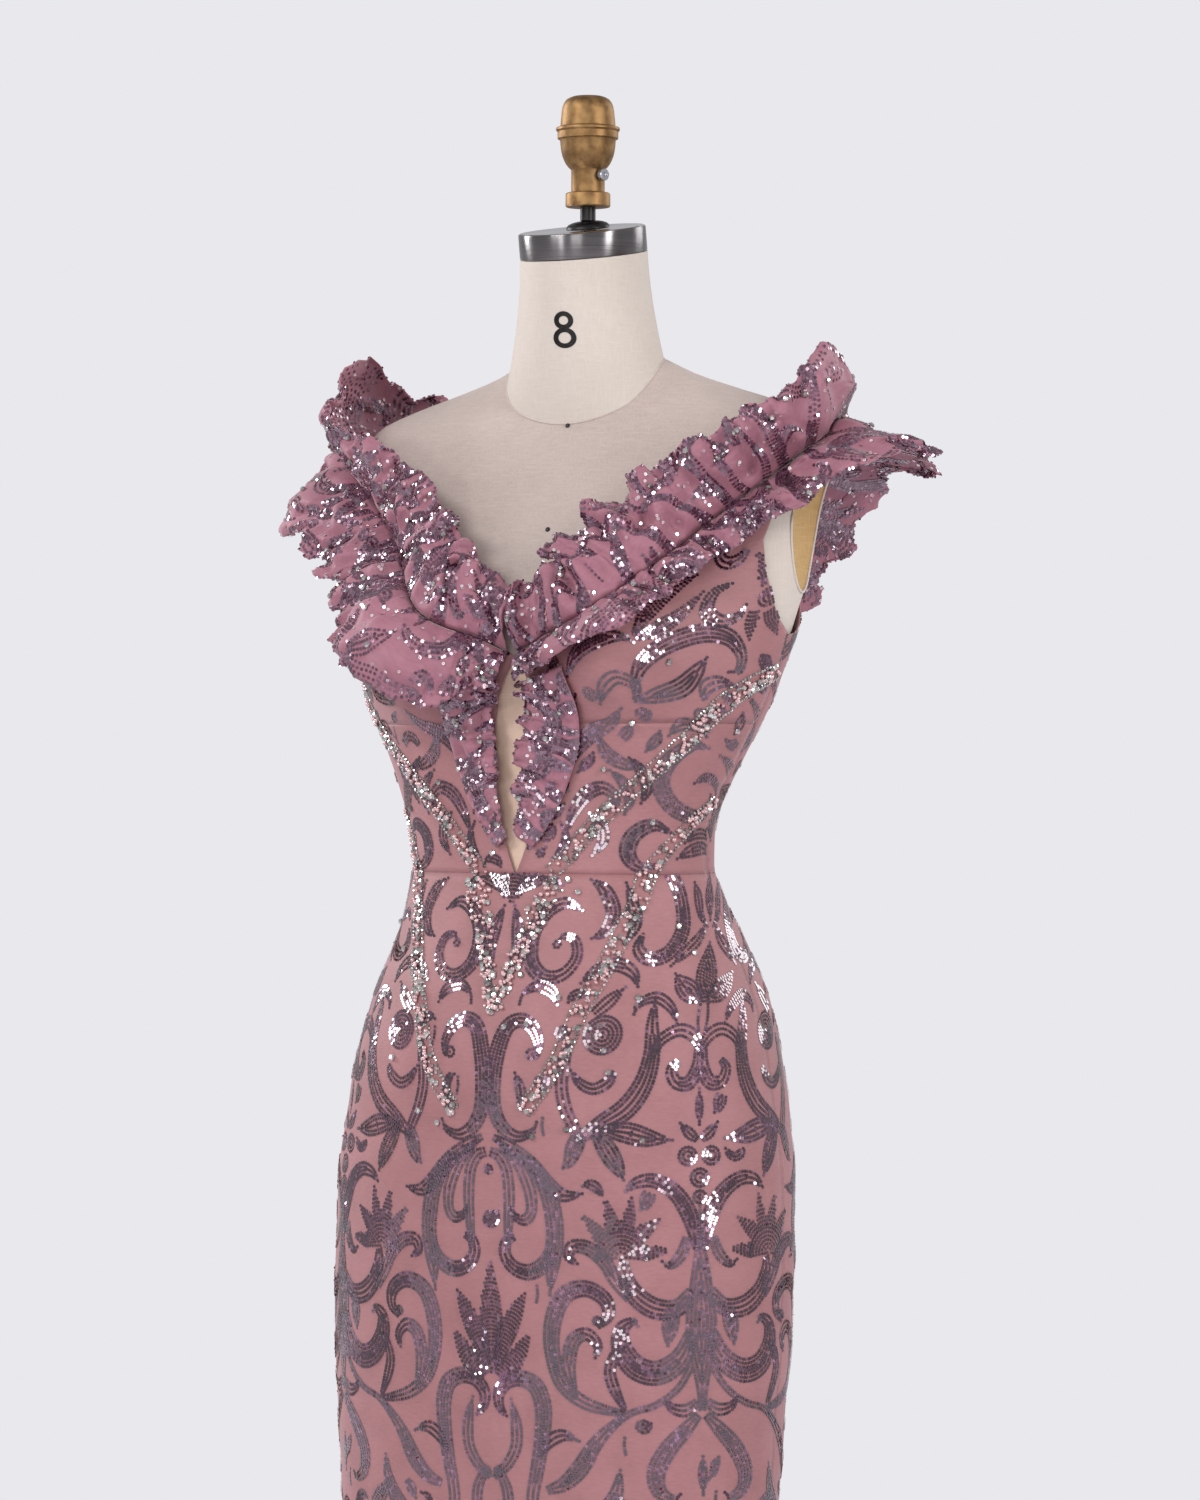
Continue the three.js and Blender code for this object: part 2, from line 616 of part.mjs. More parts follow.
function keyholeFlounce(name, sideName, side) {
  const places = seamPlaces(KEYHOLE_FLOUNCE, KEYHOLE_FLOUNCE.length * STEPS_PER_WAVE);
  const nearest = (at) => places[Math.round(at * (places.length - 1))].z;
  const widthAtZ = smoothColumn(KEYHOLE_FLOUNCE, "z", "width");
  const fall = (at) => ({ width: widthAtZ(nearest(at)) + KEYHOLE_LAP[sideName], lift: KEYHOLE_LIFT });
  const rise = WALL_OUTSIDE + FLOUNCE_LIFT_OFF;
  const waves = KEYHOLE_WAVES[sideName];
  const geometry = flounceGeometry(KEYHOLE_FLOUNCE, 1, fall, waves, side, rise, FLOUNCE_BOW.keyhole);
  return named(name, geometry, ruffleCloth);
}

// Zip at centre back

const ZIP_TOP_Z = BACK_V_Z - 12;
const ZIP_BODICE_LEVELS = [WAIST_Z, 1106, 1130, 1154, ZIP_TOP_Z - 1];
const COIL_SUNK = 0.1;
const SLIDER_CLEAR = 2.0;
const SLIDER_Z = ZIP_TOP_Z - 6;
const SLIDER = { width: 7, height: 11, depth: 2.4 };
// The bridge's bar crosses a window, and its root is sunk into the slider's block
const BRIDGE = {
  width: 1.6, halfHeight: 2.9, windowHalf: 0.9, windowDepth: 1.8, bar: 1.0, root: 0.5, above: 1,
};
// The tab keeps its full width down to its shoulder, then rounds off; its eye clears the bridge
const PULL = { width: 6, wall: 1.2, barGap: 3.4, length: 24, shoulder: 13.2, eyeClear: 0.8 };

function zipCoil() {
  const levels = SKIRT_LEVELS.filter((z) => z > ZIP_END_Z && z < WAIST_Z);
  const rows = [...levels, ...ZIP_BODICE_LEVELS];
  const grid = (offset) =>
    rows.map((z) => [-1, 1].map((end) => bodyPoint(180 - end * degreesFor(ZIP_HALF_WIDTH, 179, z), z, offset)));
  return named("zip_coil", wallGeometry(grid(WALL_OUTSIDE - COIL_SUNK), grid(WALL_INSIDE)), nylonTape);
}

const sliderFaceY = bodyPoint(180, SLIDER_Z, WALL_OUTSIDE).y + SLIDER_CLEAR + SLIDER.depth;
const PIVOT = { y: sliderFaceY + BRIDGE.windowDepth / 2, z: SLIDER_Z + BRIDGE.above };

// Block with a bridge over a window, drawn in Y and Z and given its width along X
function zipSlider() {
  const block = new THREE.BoxGeometry(SLIDER.width, SLIDER.depth, SLIDER.height);
  block.translate(0, sliderFaceY - SLIDER.depth / 2, SLIDER_Z);
  const outline = new THREE.Shape();
  const reach = BRIDGE.windowDepth + BRIDGE.bar;
  outline.moveTo(-BRIDGE.root, -BRIDGE.halfHeight);
  outline.lineTo(reach, -BRIDGE.halfHeight);
  outline.lineTo(reach, BRIDGE.halfHeight);
  outline.lineTo(-BRIDGE.root, BRIDGE.halfHeight);
  outline.lineTo(-BRIDGE.root, BRIDGE.windowHalf);
  outline.lineTo(BRIDGE.windowDepth, BRIDGE.windowHalf);
  outline.lineTo(BRIDGE.windowDepth, -BRIDGE.windowHalf);
  outline.lineTo(-BRIDGE.root, -BRIDGE.windowHalf);
  const bridge = new THREE.ExtrudeGeometry(outline, { depth: BRIDGE.width, bevelEnabled: false });
  bridge.translate(0, 0, -BRIDGE.width / 2);
  // The outline's x becomes world Y, its y becomes world Z, and the depth runs along world X
  bridge.applyMatrix4(new THREE.Matrix4().set(0, 0, 1, 0, 1, 0, 0, 0, 0, 1, 0, 0, 0, 0, 0, 1));
  bridge.translate(0, sliderFaceY, PIVOT.z);
  return named("zip_slider", fromManifold(toManifold(block).add(toManifold(bridge))), zinc);
}

// Tab that hangs from a bar in the bridge's window, with an eye round the bridge
function zipPull() {
  const half = PULL.width / 2;
  const bar = PULL.wall / 2;
  const tab = new THREE.Shape();
  tab.moveTo(-half, bar);
  tab.lineTo(-half, -PULL.shoulder);
  tab.quadraticCurveTo(-half, -PULL.length, 0, -PULL.length);
  tab.quadraticCurveTo(half, -PULL.length, half, -PULL.shoulder);
  tab.lineTo(half, bar);
  const eye = new THREE.Path();
  const eyeHalf = BRIDGE.width / 2 + PULL.eyeClear;
  eye.moveTo(-eyeHalf, -bar);
  eye.lineTo(eyeHalf, -bar);
  eye.lineTo(eyeHalf, -bar - PULL.barGap);
  eye.lineTo(-eyeHalf, -bar - PULL.barGap);
  tab.holes.push(eye);
  const geometry = new THREE.ExtrudeGeometry(tab, { depth: PULL.wall, bevelEnabled: false, curveSegments: 6 });
  geometry.translate(0, 0, -PULL.wall / 2);
  geometry.rotateX(Math.PI / 2);
  geometry.translate(0, PIVOT.y, PIVOT.z);
  return named("zip_pull", geometry, zinc);
}

// Dress form

function torsoRings(offset) {
  return TORSO_LEVELS.map((z) => {
    const ring = [];
    for (let j = 0; j < TORSO_SIDES; j += 1) ring.push(bodyPoint((360 * j) / TORSO_SIDES - 180, z, offset));
    return ring;
  });
}

function armRecess(side) {
  const bowl = new THREE.SphereGeometry(1, TORSO_RECESS_SEGMENTS, TORSO_RECESS_SEGMENTS / 2 + 1);
  bowl.scale(ARM_RECESS.depth, ARM_RECESS.halfWidth, ARM_RECESS.halfHeight);
  bowl.rotateX(-THREE.MathUtils.degToRad(ARM_RECESS.lean));
  bowl.translate(side * ARM_RECESS.x, ARM_RECESS.y, ARM_RECESS.z);
  return toManifold(bowl);
}

function formTorso() {
  const whole = toManifold(loftGeometry(torsoRings(0)));
  const cut = whole.subtract(armRecess(1)).subtract(armRecess(-1));
  return named("form_torso", fromManifold(cut), chestLinen);
}

// Share of the neck's height at which it is sectioned
const NECK_STEPS = [0, 0.3, 0.42, 0.56, 0.74, 1];
const NECK_SIDES = 36;

// Neck: oval at the shoulders, round and tilted forward at the top, cut to sit on the torso
function formNeck() {
  const rings = NECK_STEPS.map((t) => {
    const narrowing = 1 - (1 - t) ** NECK.flare;
    const half = THREE.MathUtils.lerp(NECK.baseHalf, NECK.topRadius, narrowing);
    const depth = THREE.MathUtils.lerp(NECK.baseDepth, NECK.topRadius, t);
    const centreY = THREE.MathUtils.lerp(NECK.baseY, NECK.topY, t);
    const level = THREE.MathUtils.lerp(NECK.baseZ, NECK.topZ, t);
    return Array.from({ length: NECK_SIDES }, (_, j) => {
      const turn = (2 * Math.PI * j) / NECK_SIDES;
      const y = depth * Math.sin(turn);
      return new THREE.Vector3(half * Math.cos(turn), centreY + y, level + y * t * Math.tan(HEAD_TILT));
    });
  });
  const seat = toManifold(loftGeometry(torsoRings(MEETING_GAP)));
  return named("form_neck", fromManifold(toManifold(loftGeometry(rings)).subtract(seat)), neckLinen);
}

// Turned profiles, radius and height; the cap's edges are eased, the washer has a bore for the rod
const CAP_EASE = { bottom: 0.8, top: 1.2 };
const WASHER_PROFILE = [[7, 0], [17, 0], [16, 2.4], [12, 4.2], [7, 5], [7, 0]];
const ROD_RADIUS = 6;
const FINIAL_PROFILE = [
  [0, 0], [17.4, 0], [17.4, 10], [16.6, 10.8], [13, 10.9], [13, 28.8], [15.2, 30.8], [18.2, 35.5], [20.4, 41],
  [21.6, 52], [23.6, 52.6], [23.6, 58.6], [24.7, 59.4], [24.7, 61.4], [21.4, 62.2], [20.3, 74.6],
  [18.4, 80.8], [14, 84.8], [9, 86], [0, 86],
];
const SCREW = {
  start: 13 + MEETING_GAP, shank: 2.4, shankLength: 1.6, headRadius: 4.8, length: 5.6, above: 24,
  turn: THREE.MathUtils.degToRad(-18),
};

function head() {
  const group = new THREE.Group();
  group.position.set(0, CAP.y, NECK.topZ + MEETING_GAP);
  group.rotation.x = HEAD_TILT;
  const { radius, height } = CAP;
  const { bottom, top } = CAP_EASE;
  const capProfile = [
    [0, 0], [radius - bottom, 0], [radius, bottom], [radius, height - top], [radius - top, height], [0, height],
  ];
  group.add(named("neck_cap", turnedGeometry(capProfile, 48), brushedSteel));
  const washer = named("cap_washer", turnedGeometry(WASHER_PROFILE, 32), blackSteel);
  const acrossCap = (FINIAL_Y - CAP.y) / Math.cos(HEAD_TILT) + height * Math.tan(HEAD_TILT);
  washer.position.set(0, acrossCap, height + MEETING_GAP);
  group.add(washer);
  return group;
}

function finialRod() {
  const capTop = NECK.topZ + MEETING_GAP + CAP.height / Math.cos(HEAD_TILT)
    + (FINIAL_Y - CAP.y) * Math.tan(HEAD_TILT);
  const bottom = capTop + ROD_RADIUS * Math.tan(HEAD_TILT) + MEETING_GAP;
  const top = FINIAL_BOTTOM - MEETING_GAP;
  const rod = turnedGeometry([[0, bottom], [ROD_RADIUS, bottom], [ROD_RADIUS, top], [0, top]], 24);
  rod.translate(0, FINIAL_Y, 0);
  return named("finial_rod", rod, blackSteel);
}

function finial() {
  const geometry = turnedGeometry(FINIAL_PROFILE, 24);
  geometry.translate(0, FINIAL_Y, FINIAL_BOTTOM);
  return named("finial", geometry, brass);
}

function finialScrew() {
  const { start, shank, shankLength, headRadius, length } = SCREW;
  const underHead = start + shankLength;
  const end = start + length;
  const profile = [
    [0, start], [shank, start], [shank, underHead], [headRadius, underHead], [headRadius, end], [0, end],
  ];
  const geometry = turnedGeometry(profile, 16);
  geometry.rotateY(Math.PI / 2);
  geometry.rotateZ(SCREW.turn);
  geometry.translate(0, FINIAL_Y, FINIAL_BOTTOM + SCREW.above);
  return named("finial_screw", geometry, zinc);
}

function formBase() {
  const profile = [
    [0, 0], [BASE_RADIUS - 2, 0], [BASE_RADIUS, 2], [BASE_RADIUS, BASE_THICKNESS - 4],
    [BASE_RADIUS - 4, BASE_THICKNESS], [BOSS_RADIUS + 3, BASE_THICKNESS + 2], [BOSS_RADIUS, BASE_THICKNESS + 5],
    [BOSS_RADIUS, BOSS_TOP - 2], [BOSS_RADIUS - 2, BOSS_TOP], [0, BOSS_TOP],
  ];
  return named("form_base", turnedGeometry(profile, 40), whitePaint);
}

function formPole() {
  const bottom = BOSS_TOP + MEETING_GAP;
  const top = TORSO_BOTTOM - MEETING_GAP;
  const profile = [[0, bottom], [POLE_RADIUS, bottom], [POLE_RADIUS, top], [0, top]];
  return named("form_pole", turnedGeometry(profile, 32), brushedSteel);
}

// Scene graph

const gown = new THREE.Group();
gown.add(skirtFront());
gown.add(zipCoil(), zipSlider(), zipPull());
const SIDES = [
  { sideName: "left", side: 1 },
  { sideName: "right", side: -1 },
];
for (const { sideName, side } of SIDES) {
  gown.add(skirtBack(`skirt_back_${sideName}`, side));
  gown.add(midriff(`midriff_${sideName}`, side));
  gown.add(strapPanel(`cup_${sideName}`, CUP_EDGES, -1, CUP_COLUMNS, side));
  gown.add(strapPanel(`back_bodice_${sideName}`, BACK_EDGES, 1, BODICE_COLUMNS, side));
  gown.add(collarFlounce(`ruffle_inner_${sideName}`, "inner", sideName, side));
  gown.add(collarFlounce(`ruffle_outer_${sideName}`, "outer", sideName, side));
  gown.add(keyholeFlounce(`keyhole_ruffle_${sideName}`, sideName, side));
}

const form = new THREE.Group();
form.add(formBase(), formPole(), formTorso(), formNeck(), head());
form.add(finialRod(), finial(), finialScrew());

const part = new THREE.Group();
part.add(gown, form);
export default part;
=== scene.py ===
"""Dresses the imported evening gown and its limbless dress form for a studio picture.

Lengths in the tables are millimetres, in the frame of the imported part: the front faces -Y and the form's
left side lies at +X. Angles run in degrees from centre front (0) over the left side (90) to centre back
(180), and are negative on the right side. An arc is the length round the body from centre front.
"""

import logging
import math
from dataclasses import dataclass, field
from enum import Enum
from typing import Callable, Optional, Sequence

import bpy
import numpy as np
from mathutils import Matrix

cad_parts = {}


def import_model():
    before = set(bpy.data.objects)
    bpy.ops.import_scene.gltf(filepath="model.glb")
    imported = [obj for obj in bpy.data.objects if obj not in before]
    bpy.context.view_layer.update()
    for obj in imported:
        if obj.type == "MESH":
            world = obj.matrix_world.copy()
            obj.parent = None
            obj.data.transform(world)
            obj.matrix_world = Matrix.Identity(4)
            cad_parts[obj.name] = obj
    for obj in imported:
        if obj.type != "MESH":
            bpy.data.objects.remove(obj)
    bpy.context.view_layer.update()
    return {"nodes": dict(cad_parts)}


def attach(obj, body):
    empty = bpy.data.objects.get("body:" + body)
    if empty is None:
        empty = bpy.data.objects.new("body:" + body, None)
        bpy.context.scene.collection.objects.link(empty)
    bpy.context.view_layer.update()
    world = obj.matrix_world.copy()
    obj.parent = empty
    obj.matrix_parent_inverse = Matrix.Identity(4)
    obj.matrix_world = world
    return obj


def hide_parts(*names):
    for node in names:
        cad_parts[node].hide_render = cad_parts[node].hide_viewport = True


logging.basicConfig(level=logging.INFO, format="%(message)s")
LOG = logging.getLogger("gown")

Array = np.ndarray
Rows = Sequence[Sequence[float]]
Strokes = Sequence[Rows]
Material = bpy.types.Material
Piece = bpy.types.Object

MM = 0.001
GOWN_BODY = "gown_on_form"
SIDES = ((1, "left"), (-1, "right"))

# Body sections: level, half width, front edge, back edge, squareness
BODY_SECTIONS = (
    (12, 292, -248, 264, 2.0), (90, 262, -218, 228, 2.0), (200, 222, -174, 172, 2.0),
    (330, 184, -134, 118, 2.05), (450, 168, -114, 92, 2.1), (600, 174, -115, 88, 2.15),
    (750, 182, -118, 103, 2.15), (830, 181, -121, 114, 2.15), (905, 171, -123, 128, 2.15),
    (945, 163, -121, 131, 2.15), (985, 152, -111, 126, 2.15), (1020, 137, -99, 114, 2.15),
    (1060, 123, -86, 86, 2.15), (1085, 118, -79, 67, 2.15), (1110, 119, -78, 64, 2.15),
    (1140, 128, -78, 68, 2.15), (1175, 144, -76, 76, 2.15), (1210, 161, -72, 84, 2.15),
    (1245, 173, -70, 95, 2.15), (1275, 180, -66, 103, 2.2), (1305, 187, -53, 107, 2.25),
    (1345, 196, -35, 108, 2.3), (1385, 202, -19, 106, 2.3), (1412, 200, -9, 101, 2.2),
    (1428, 187, -2, 97, 2.0), (1440, 160, 4, 94, 1.8), (1452, 122, 8, 92, 1.7),
    (1464, 86, 12, 90, 1.8), (1476, 60, 14, 86, 2.0),
)
HEM_Z, WAIST_Z, UNDERBUST_Z, ZIP_END_Z = 12.0, 1080.0, 1195.5, 900.0
TORSO_BOTTOM, TORSO_TOP = 750.0, 1476.0
WALL_OUTSIDE = 4.4
SHELL = 0.9
SEAM_INSET = 0.08
ZIP_HALF_GAP = 1.9

# Keyhole: level, half angle
KEYHOLE = (
    (1080, 0.1), (1098, 2.8), (1115, 4.9), (1140, 5.9), (1168, 6.2), (1195.5, 5.8), (1214, 4.5),
    (1230, 2.6), (1242, 0.1),
)
# Bust panel stations: front edge's angle and level, side edge's angle and level
CUP_EDGES = (
    (5.8, 1195.5, 90, 1195.5), (4.5, 1214, 90, 1220), (2.6, 1230, 90, 1243), (0, 1244, 90, 1262),
    (4, 1251, 85, 1268), (8, 1256, 80, 1274), (14, 1262, 76, 1282), (19, 1268, 72, 1291),
    (23.5, 1279, 68.5, 1300), (27, 1290, 65, 1309), (34, 1319, 60, 1331), (43, 1348, 61, 1356),
    (56, 1377, 69, 1381), (73, 1402, 80, 1399), (82, 1413, 85, 1403), (90, 1419, 90, 1404),
)
# Back bodice stations: side edge's angle and level, centre-back edge's angle and level
BACK_EDGES = (
    (90, 1080, 180, 1080), (90, 1110, 180, 1106), (90, 1140, 180, 1130), (90, 1172, 180, 1154),
    (90, 1204, 180, 1176), (90, 1236, 180, 1198), (90, 1262, 170, 1224), (97, 1264, 165, 1240),
    (105, 1270, 160, 1255), (112, 1279, 155, 1273), (118, 1290, 150, 1292), (126, 1320, 143, 1330),
    (128, 1350, 138, 1362), (123, 1380, 130, 1393), (107, 1400, 112, 1413), (98, 1403, 101, 1417),
    (90, 1404, 90, 1419),
)
# Gathered seam of the collar flounces: angle, level
COLLAR_SEAM = (
    (1.6, 1247), (8, 1256), (19, 1268), (27, 1290), (34, 1319), (43, 1348), (56, 1377), (73, 1402),
    (90, 1418), (112, 1412), (130, 1392), (138, 1361), (143, 1329), (150, 1291), (160, 1254), (171, 1221),
)
# Fall of the collar flounces: share of the seam, inner width and lift, outer width and lift
COLLAR_FALL = {
    1: (
        (0, 40, 5, 22, 24), (0.06, 50, 8, 26, 24), (0.15, 62, 12, 28, 22), (0.3, 56, 18, 32, 26),
        (0.4, 52, 34, 42, 50), (0.48, 42, 52, 54, 72), (0.56, 42, 56, 70, 66), (0.66, 48, 36, 74, 86),
        (0.8, 48, 16, 48, 76), (1, 22, 10, 18, 16),
    ),
    -1: (
        (0, 42, 5, 24, 24), (0.06, 50, 8, 42, 20), (0.13, 58, 12, 54, 18), (0.3, 57, 22, 50, 26),
        (0.4, 52, 38, 56, 42), (0.48, 42, 54, 60, 52), (0.56, 40, 56, 64, 60), (0.66, 48, 36, 62, 74),
        (0.8, 48, 16, 44, 60), (1, 22, 10, 18, 16),
    ),
}
# Keyhole flounce: angle, level and width of its fall
KEYHOLE_FLOUNCE = (
    (6.4, 1100, 5), (11.5, 1115, 13), (16.5, 1138, 24), (19.5, 1166, 31), (20.5, 1192, 37), (20, 1214, 41),
    (17, 1238, 40),
)

# The embroidery's tile, mirrored about arcs 0 and 160: each stroke is a row of arc, level, half width
PERIOD_ARC, PERIOD_Z = 320.0, 560.0
LONG_STROKES: Strokes = (
    # Heart of two scrolls under the beads' drop
    ((38, 944, 2.0), (39, 955, 3.5), (33, 966, 4.5), (23, 971, 5), (13, 966, 5.5), (7, 950, 6),
     (4, 930, 6), (5, 908, 5.5), (12, 893, 5), (24, 886, 4), (36, 890, 2.5), (40, 898, 1.2)),
    # Urn: swept leaf, outer stem, inner band, arch and foot scroll
    ((5, 885, 2.5), (18, 878, 4.5), (34, 866, 5.5), (48, 851, 5.5), (60, 843, 4.5), (76, 845, 1.0)),
    ((30, 872, 2), (42, 856, 5), (50, 838, 6), (53, 815, 6), (50, 792, 5.5), (48, 768, 0.8)),
    ((10, 880, 2), (24, 866, 4), (33, 848, 4.5), (35, 832, 4), (30, 824, 4), (22, 826, 3), (18, 833, 1.5)),
    ((2, 874, 3.5), (9, 871, 4), (15, 860, 4.2), (17, 840, 4.2), (16, 820, 3.6), (15, 806, 2.4),
     (17, 797, 1.5)),
    ((50, 806, 3), (44, 792, 5), (32, 785, 5.5), (20, 788, 5), (13, 797, 4.5), (14, 807, 4), (21, 811, 2.5)),
    # Canes under the palmette, their inner loop and side leaf
    ((13, 676, 1.5), (7, 683, 3.5), (6, 693, 4.5), (13, 702, 5), (25, 705, 5.5), (37, 699, 6), (42, 684, 6),
     (41, 664, 5.5), (37, 640, 5), (33, 618, 4.5), (33, 598, 4.5), (36, 578, 4),
     (42, 562, 3), (50, 550, 1.2)),
    ((16, 690, 1), (20, 672, 4), (20, 655, 4.2), (14, 642, 4), (6, 634, 3.5), (1, 631, 3)),
    ((4, 638, 3), (12, 622, 4), (13, 604, 4), (9, 588, 3.5), (3, 574, 2)),
    ((38, 648, 2), (48, 660, 4.5), (58, 664, 4), (70, 660, 0.8)),
    # Volute beside the beaded point
    ((58, 1052, 1.2), (44, 1058, 4), (30, 1050, 5), (22, 1034, 5.5), (24, 1014, 5.5), (36, 1003, 5),
     (50, 1005, 4.5), (58, 1017, 4), (55, 1030, 3.5), (46, 1033, 2.5), (41, 1027, 1.2)),
    # Large C scroll and its inner hook
    ((84, 746, 2.5), (92, 754, 4), (90, 766, 5), (76, 774, 5.5), (60, 769, 6), (51, 752, 6), (49, 728, 5.5),
     (56, 704, 5), (72, 690, 4.5), (90, 684, 3.5), (104, 682, 2)),
    ((82, 722, 1.5), (84, 732, 3.5), (76, 740, 4.5), (66, 735, 5), (62, 720, 5), (64, 706, 3.5),
     (68, 696, 1.5)),
    # Acanthus spray: tall, right, lower right and lower leaves, stem and hook
    ((70, 884, 3), (88, 896, 6), (106, 908, 7), (118, 926, 6.5), (123, 948, 5.5), (121, 970, 4),
     (121, 990, 0.8)),
    ((90, 892, 4), (106, 890, 7), (122, 886, 6), (140, 884, 0.8)),
    ((84, 890, 4), (92, 878, 6.5), (99, 866, 5.5), (105, 854, 0.8)),
    ((72, 888, 5), (68, 878, 6), (64, 868, 4), (58, 862, 1)),
    ((70, 890, 4), (62, 906, 4.5), (58, 924, 4.5), (60, 944, 4), (64, 958, 1.5)),
    ((64, 936, 1.5), (72, 926, 3.5), (82, 922, 4), (92, 927, 4), (97, 935, 2)),
    ((78, 976, 4), (88, 986, 4.5), (98, 996, 1)),
    # Hook that carries the star, and the arm that sweeps up to it
    ((70, 792, 1.5), (63, 797, 3.5), (66, 805, 4.5), (78, 804, 5), (90, 794, 5), (98, 780, 4.5),
     (108, 768, 4)),
    ((153, 772, 4), (142, 760, 6), (126, 760, 7), (112, 770, 6.5), (105, 784, 5), (104, 796, 3)),
    # Trefoil, its stems and the small scrolls under it
    ((157, 986, 3), (148, 991, 7), (140, 997, 6), (133, 1005, 0.8)),
    ((157, 986, 1.3), (156, 972, 1.3), (158, 960, 1.3)),
    ((160, 950, 3), (153, 960, 4.5), (142, 964, 4.5), (130, 958, 4), (124, 948, 3)),
    ((158, 952, 3), (158, 938, 4.5), (152, 926, 5), (142, 926, 4.5), (138, 935, 4), (143, 942, 2.5)),
    ((158, 884, 2.5), (152, 889, 4), (144, 898, 0.8)),
    # Tree: arching arms, hooks, C arm, thin branch, leaf pair and S scroll
    ((157, 802, 2), (153, 826, 5.5), (143, 844, 5.5), (128, 854, 5), (114, 853, 4), (104, 845, 1.2)),
    ((150, 812, 3), (146, 800, 4), (138, 792, 3), (130, 796, 1)),
    ((140, 760, 4), (137, 746, 5.5), (135, 730, 0.8)),
    ((154, 742, 5), (144, 722, 7), (128, 712, 8), (112, 716, 8), (102, 730, 7), (102, 744, 5), (110, 750, 3),
     (115, 745, 1.2)),
    ((152, 716, 2.5), (142, 700, 2.5), (126, 688, 2.5), (108, 682, 2.5), (92, 670, 3.5), (80, 656, 5),
     (70, 640, 6), (58, 628, 5), (44, 622, 3)),
    ((156, 690, 3), (148, 684, 4.5), (138, 686, 3.5), (132, 694, 1)),
    ((157, 680, 3), (146, 668, 5), (134, 654, 6), (126, 638, 6), (128, 624, 5), (138, 618, 3),
     (144, 622, 1.2)),
    ((104, 684, 2), (96, 700, 4), (93, 714, 4), (99, 728, 3.5), (107, 732, 1.2)),
    # Scrolls that fill the waist between the beaded bands
    ((60, 1076, 1), (72, 1067, 4.5), (80, 1051, 5), (76, 1037, 4), (66, 1031, 1.2)),
    ((4, 1064, 1.5), (14, 1072, 4.5), (27, 1077, 4.5), (40, 1071, 1.2)),
    ((4, 1056, 1), (9, 1040, 4.5), (12, 1022, 5), (8, 1004, 3), (4, 994, 1)),
    ((86, 1074, 1), (93, 1058, 4), (97, 1042, 4.5), (92, 1027, 1)),
    ((64, 998, 1), (74, 1007, 4.5), (88, 1012, 5), (101, 1006, 4), (107, 995, 1.2)),
    ((128, 1010, 1), (139, 1021, 4), (149, 1031, 4), (155, 1043, 1)),
    ((140, 1074, 1), (146, 1062, 4), (150, 1048, 3), (158, 1038, 1)),
    ((140, 968, 1), (134, 980, 3.5), (122, 988, 4), (110, 984, 3), (106, 974, 1.2)),
    ((50, 982, 1), (44, 992, 4), (32, 996, 4), (22, 990, 2), (20, 982, 1)),
    # Loop under the waist and the sprays that close the tile
    ((104, 1036, 1.5), (102, 1024, 4), (112, 1016, 5), (126, 1021, 5.5), (134, 1038, 5.5), (130, 1060, 5),
     (120, 1078, 4.5), (108, 1094, 4), (94, 1106, 2)),
    ((100, 640, 1.5), (96, 620, 5), (84, 602, 6.5), (70, 592, 6), (58, 598, 4.5), (56, 610, 3),
     (64, 614, 1.5)),
    ((96, 618, 3), (108, 606, 6), (118, 590, 5), (122, 572, 0.8)),
    ((84, 600, 3), (86, 584, 5.5), (80, 566, 5), (70, 552, 0.8)),
    ((154, 586, 3), (142, 584, 6), (130, 590, 0.8)),
    ((155, 580, 3), (146, 568, 5), (138, 554, 0.8)),
)
# Strokes on a mirror line, made once: arc, level, half width
AXIS_STROKES: Strokes = (
    ((160, 984, 2), (160, 998, 8), (160, 1011, 7.5), (160, 1028, 0.8)),
    ((160, 922, 1), (160, 908, 3.2), (160, 894, 1)),
    ((160, 836, 1.2), (160, 810, 3), (160, 780, 7), (160, 750, 10), (160, 725, 8), (160, 700, 4),
     (160, 682, 2.5)),
    ((160, 650, 1), (160, 636, 3.5), (160, 620, 1)),
    ((160, 578, 2), (160, 562, 6.5), (160, 545, 0.8)),
    ((160, 1080, 1), (160, 1062, 5), (160, 1044, 1)),
)
# Palmette leaves and star spikes, filled with rows across them
CROSS_STROKES: Strokes = (
    ((3, 715, 3), (12, 738, 6.5), (20, 754, 5.5), (28, 770, 0.8)),
    ((6, 706, 5), (16, 716, 7), (24, 726, 5), (31, 738, 0.8)),
    ((3, 503, 3), (14, 522, 6), (24, 540, 4), (30, 556, 0.8)),
    ((119, 801, 4.5), (126, 802, 4), (137, 803, 0.6)),
    ((114, 812, 4.5), (122, 820, 4), (131, 828, 0.6)),
    ((106, 818, 4.5), (108, 828, 4), (110, 842, 0.6)),
    ((97, 818, 4.5), (94, 828, 4), (91, 841, 0.6)),
    ((89, 811, 4.5), (82, 819, 4), (73, 829, 0.6)),
)
AXIS_CROSS_STROKES: Strokes = (
    ((0, 708, 2), (0, 735, 7.5), (0, 762, 7), (0, 792, 0.8)),
    ((0, 498, 2), (0, 520, 7), (0, 542, 6), (0, 568, 0.8)),
)
# Rounds of rings: arc, level, outer radius, first and last degree
ROUNDS = (
    (102, 798, 20, -5, 190), (86, 961, 15, 0, 360), (34, 947, 5, 0, 360), (84, 750, 4.5, 0, 360),
    (151, 872, 8, 0, 360), (42, 1027, 4, 0, 360),
)
AXIS_ROUNDS = ((0, 861, 4.5, 0, 360), (160, 856, 8, 0, 360), (160, 842, 6, 0, 360), (160, 592, 9, 0, 360))

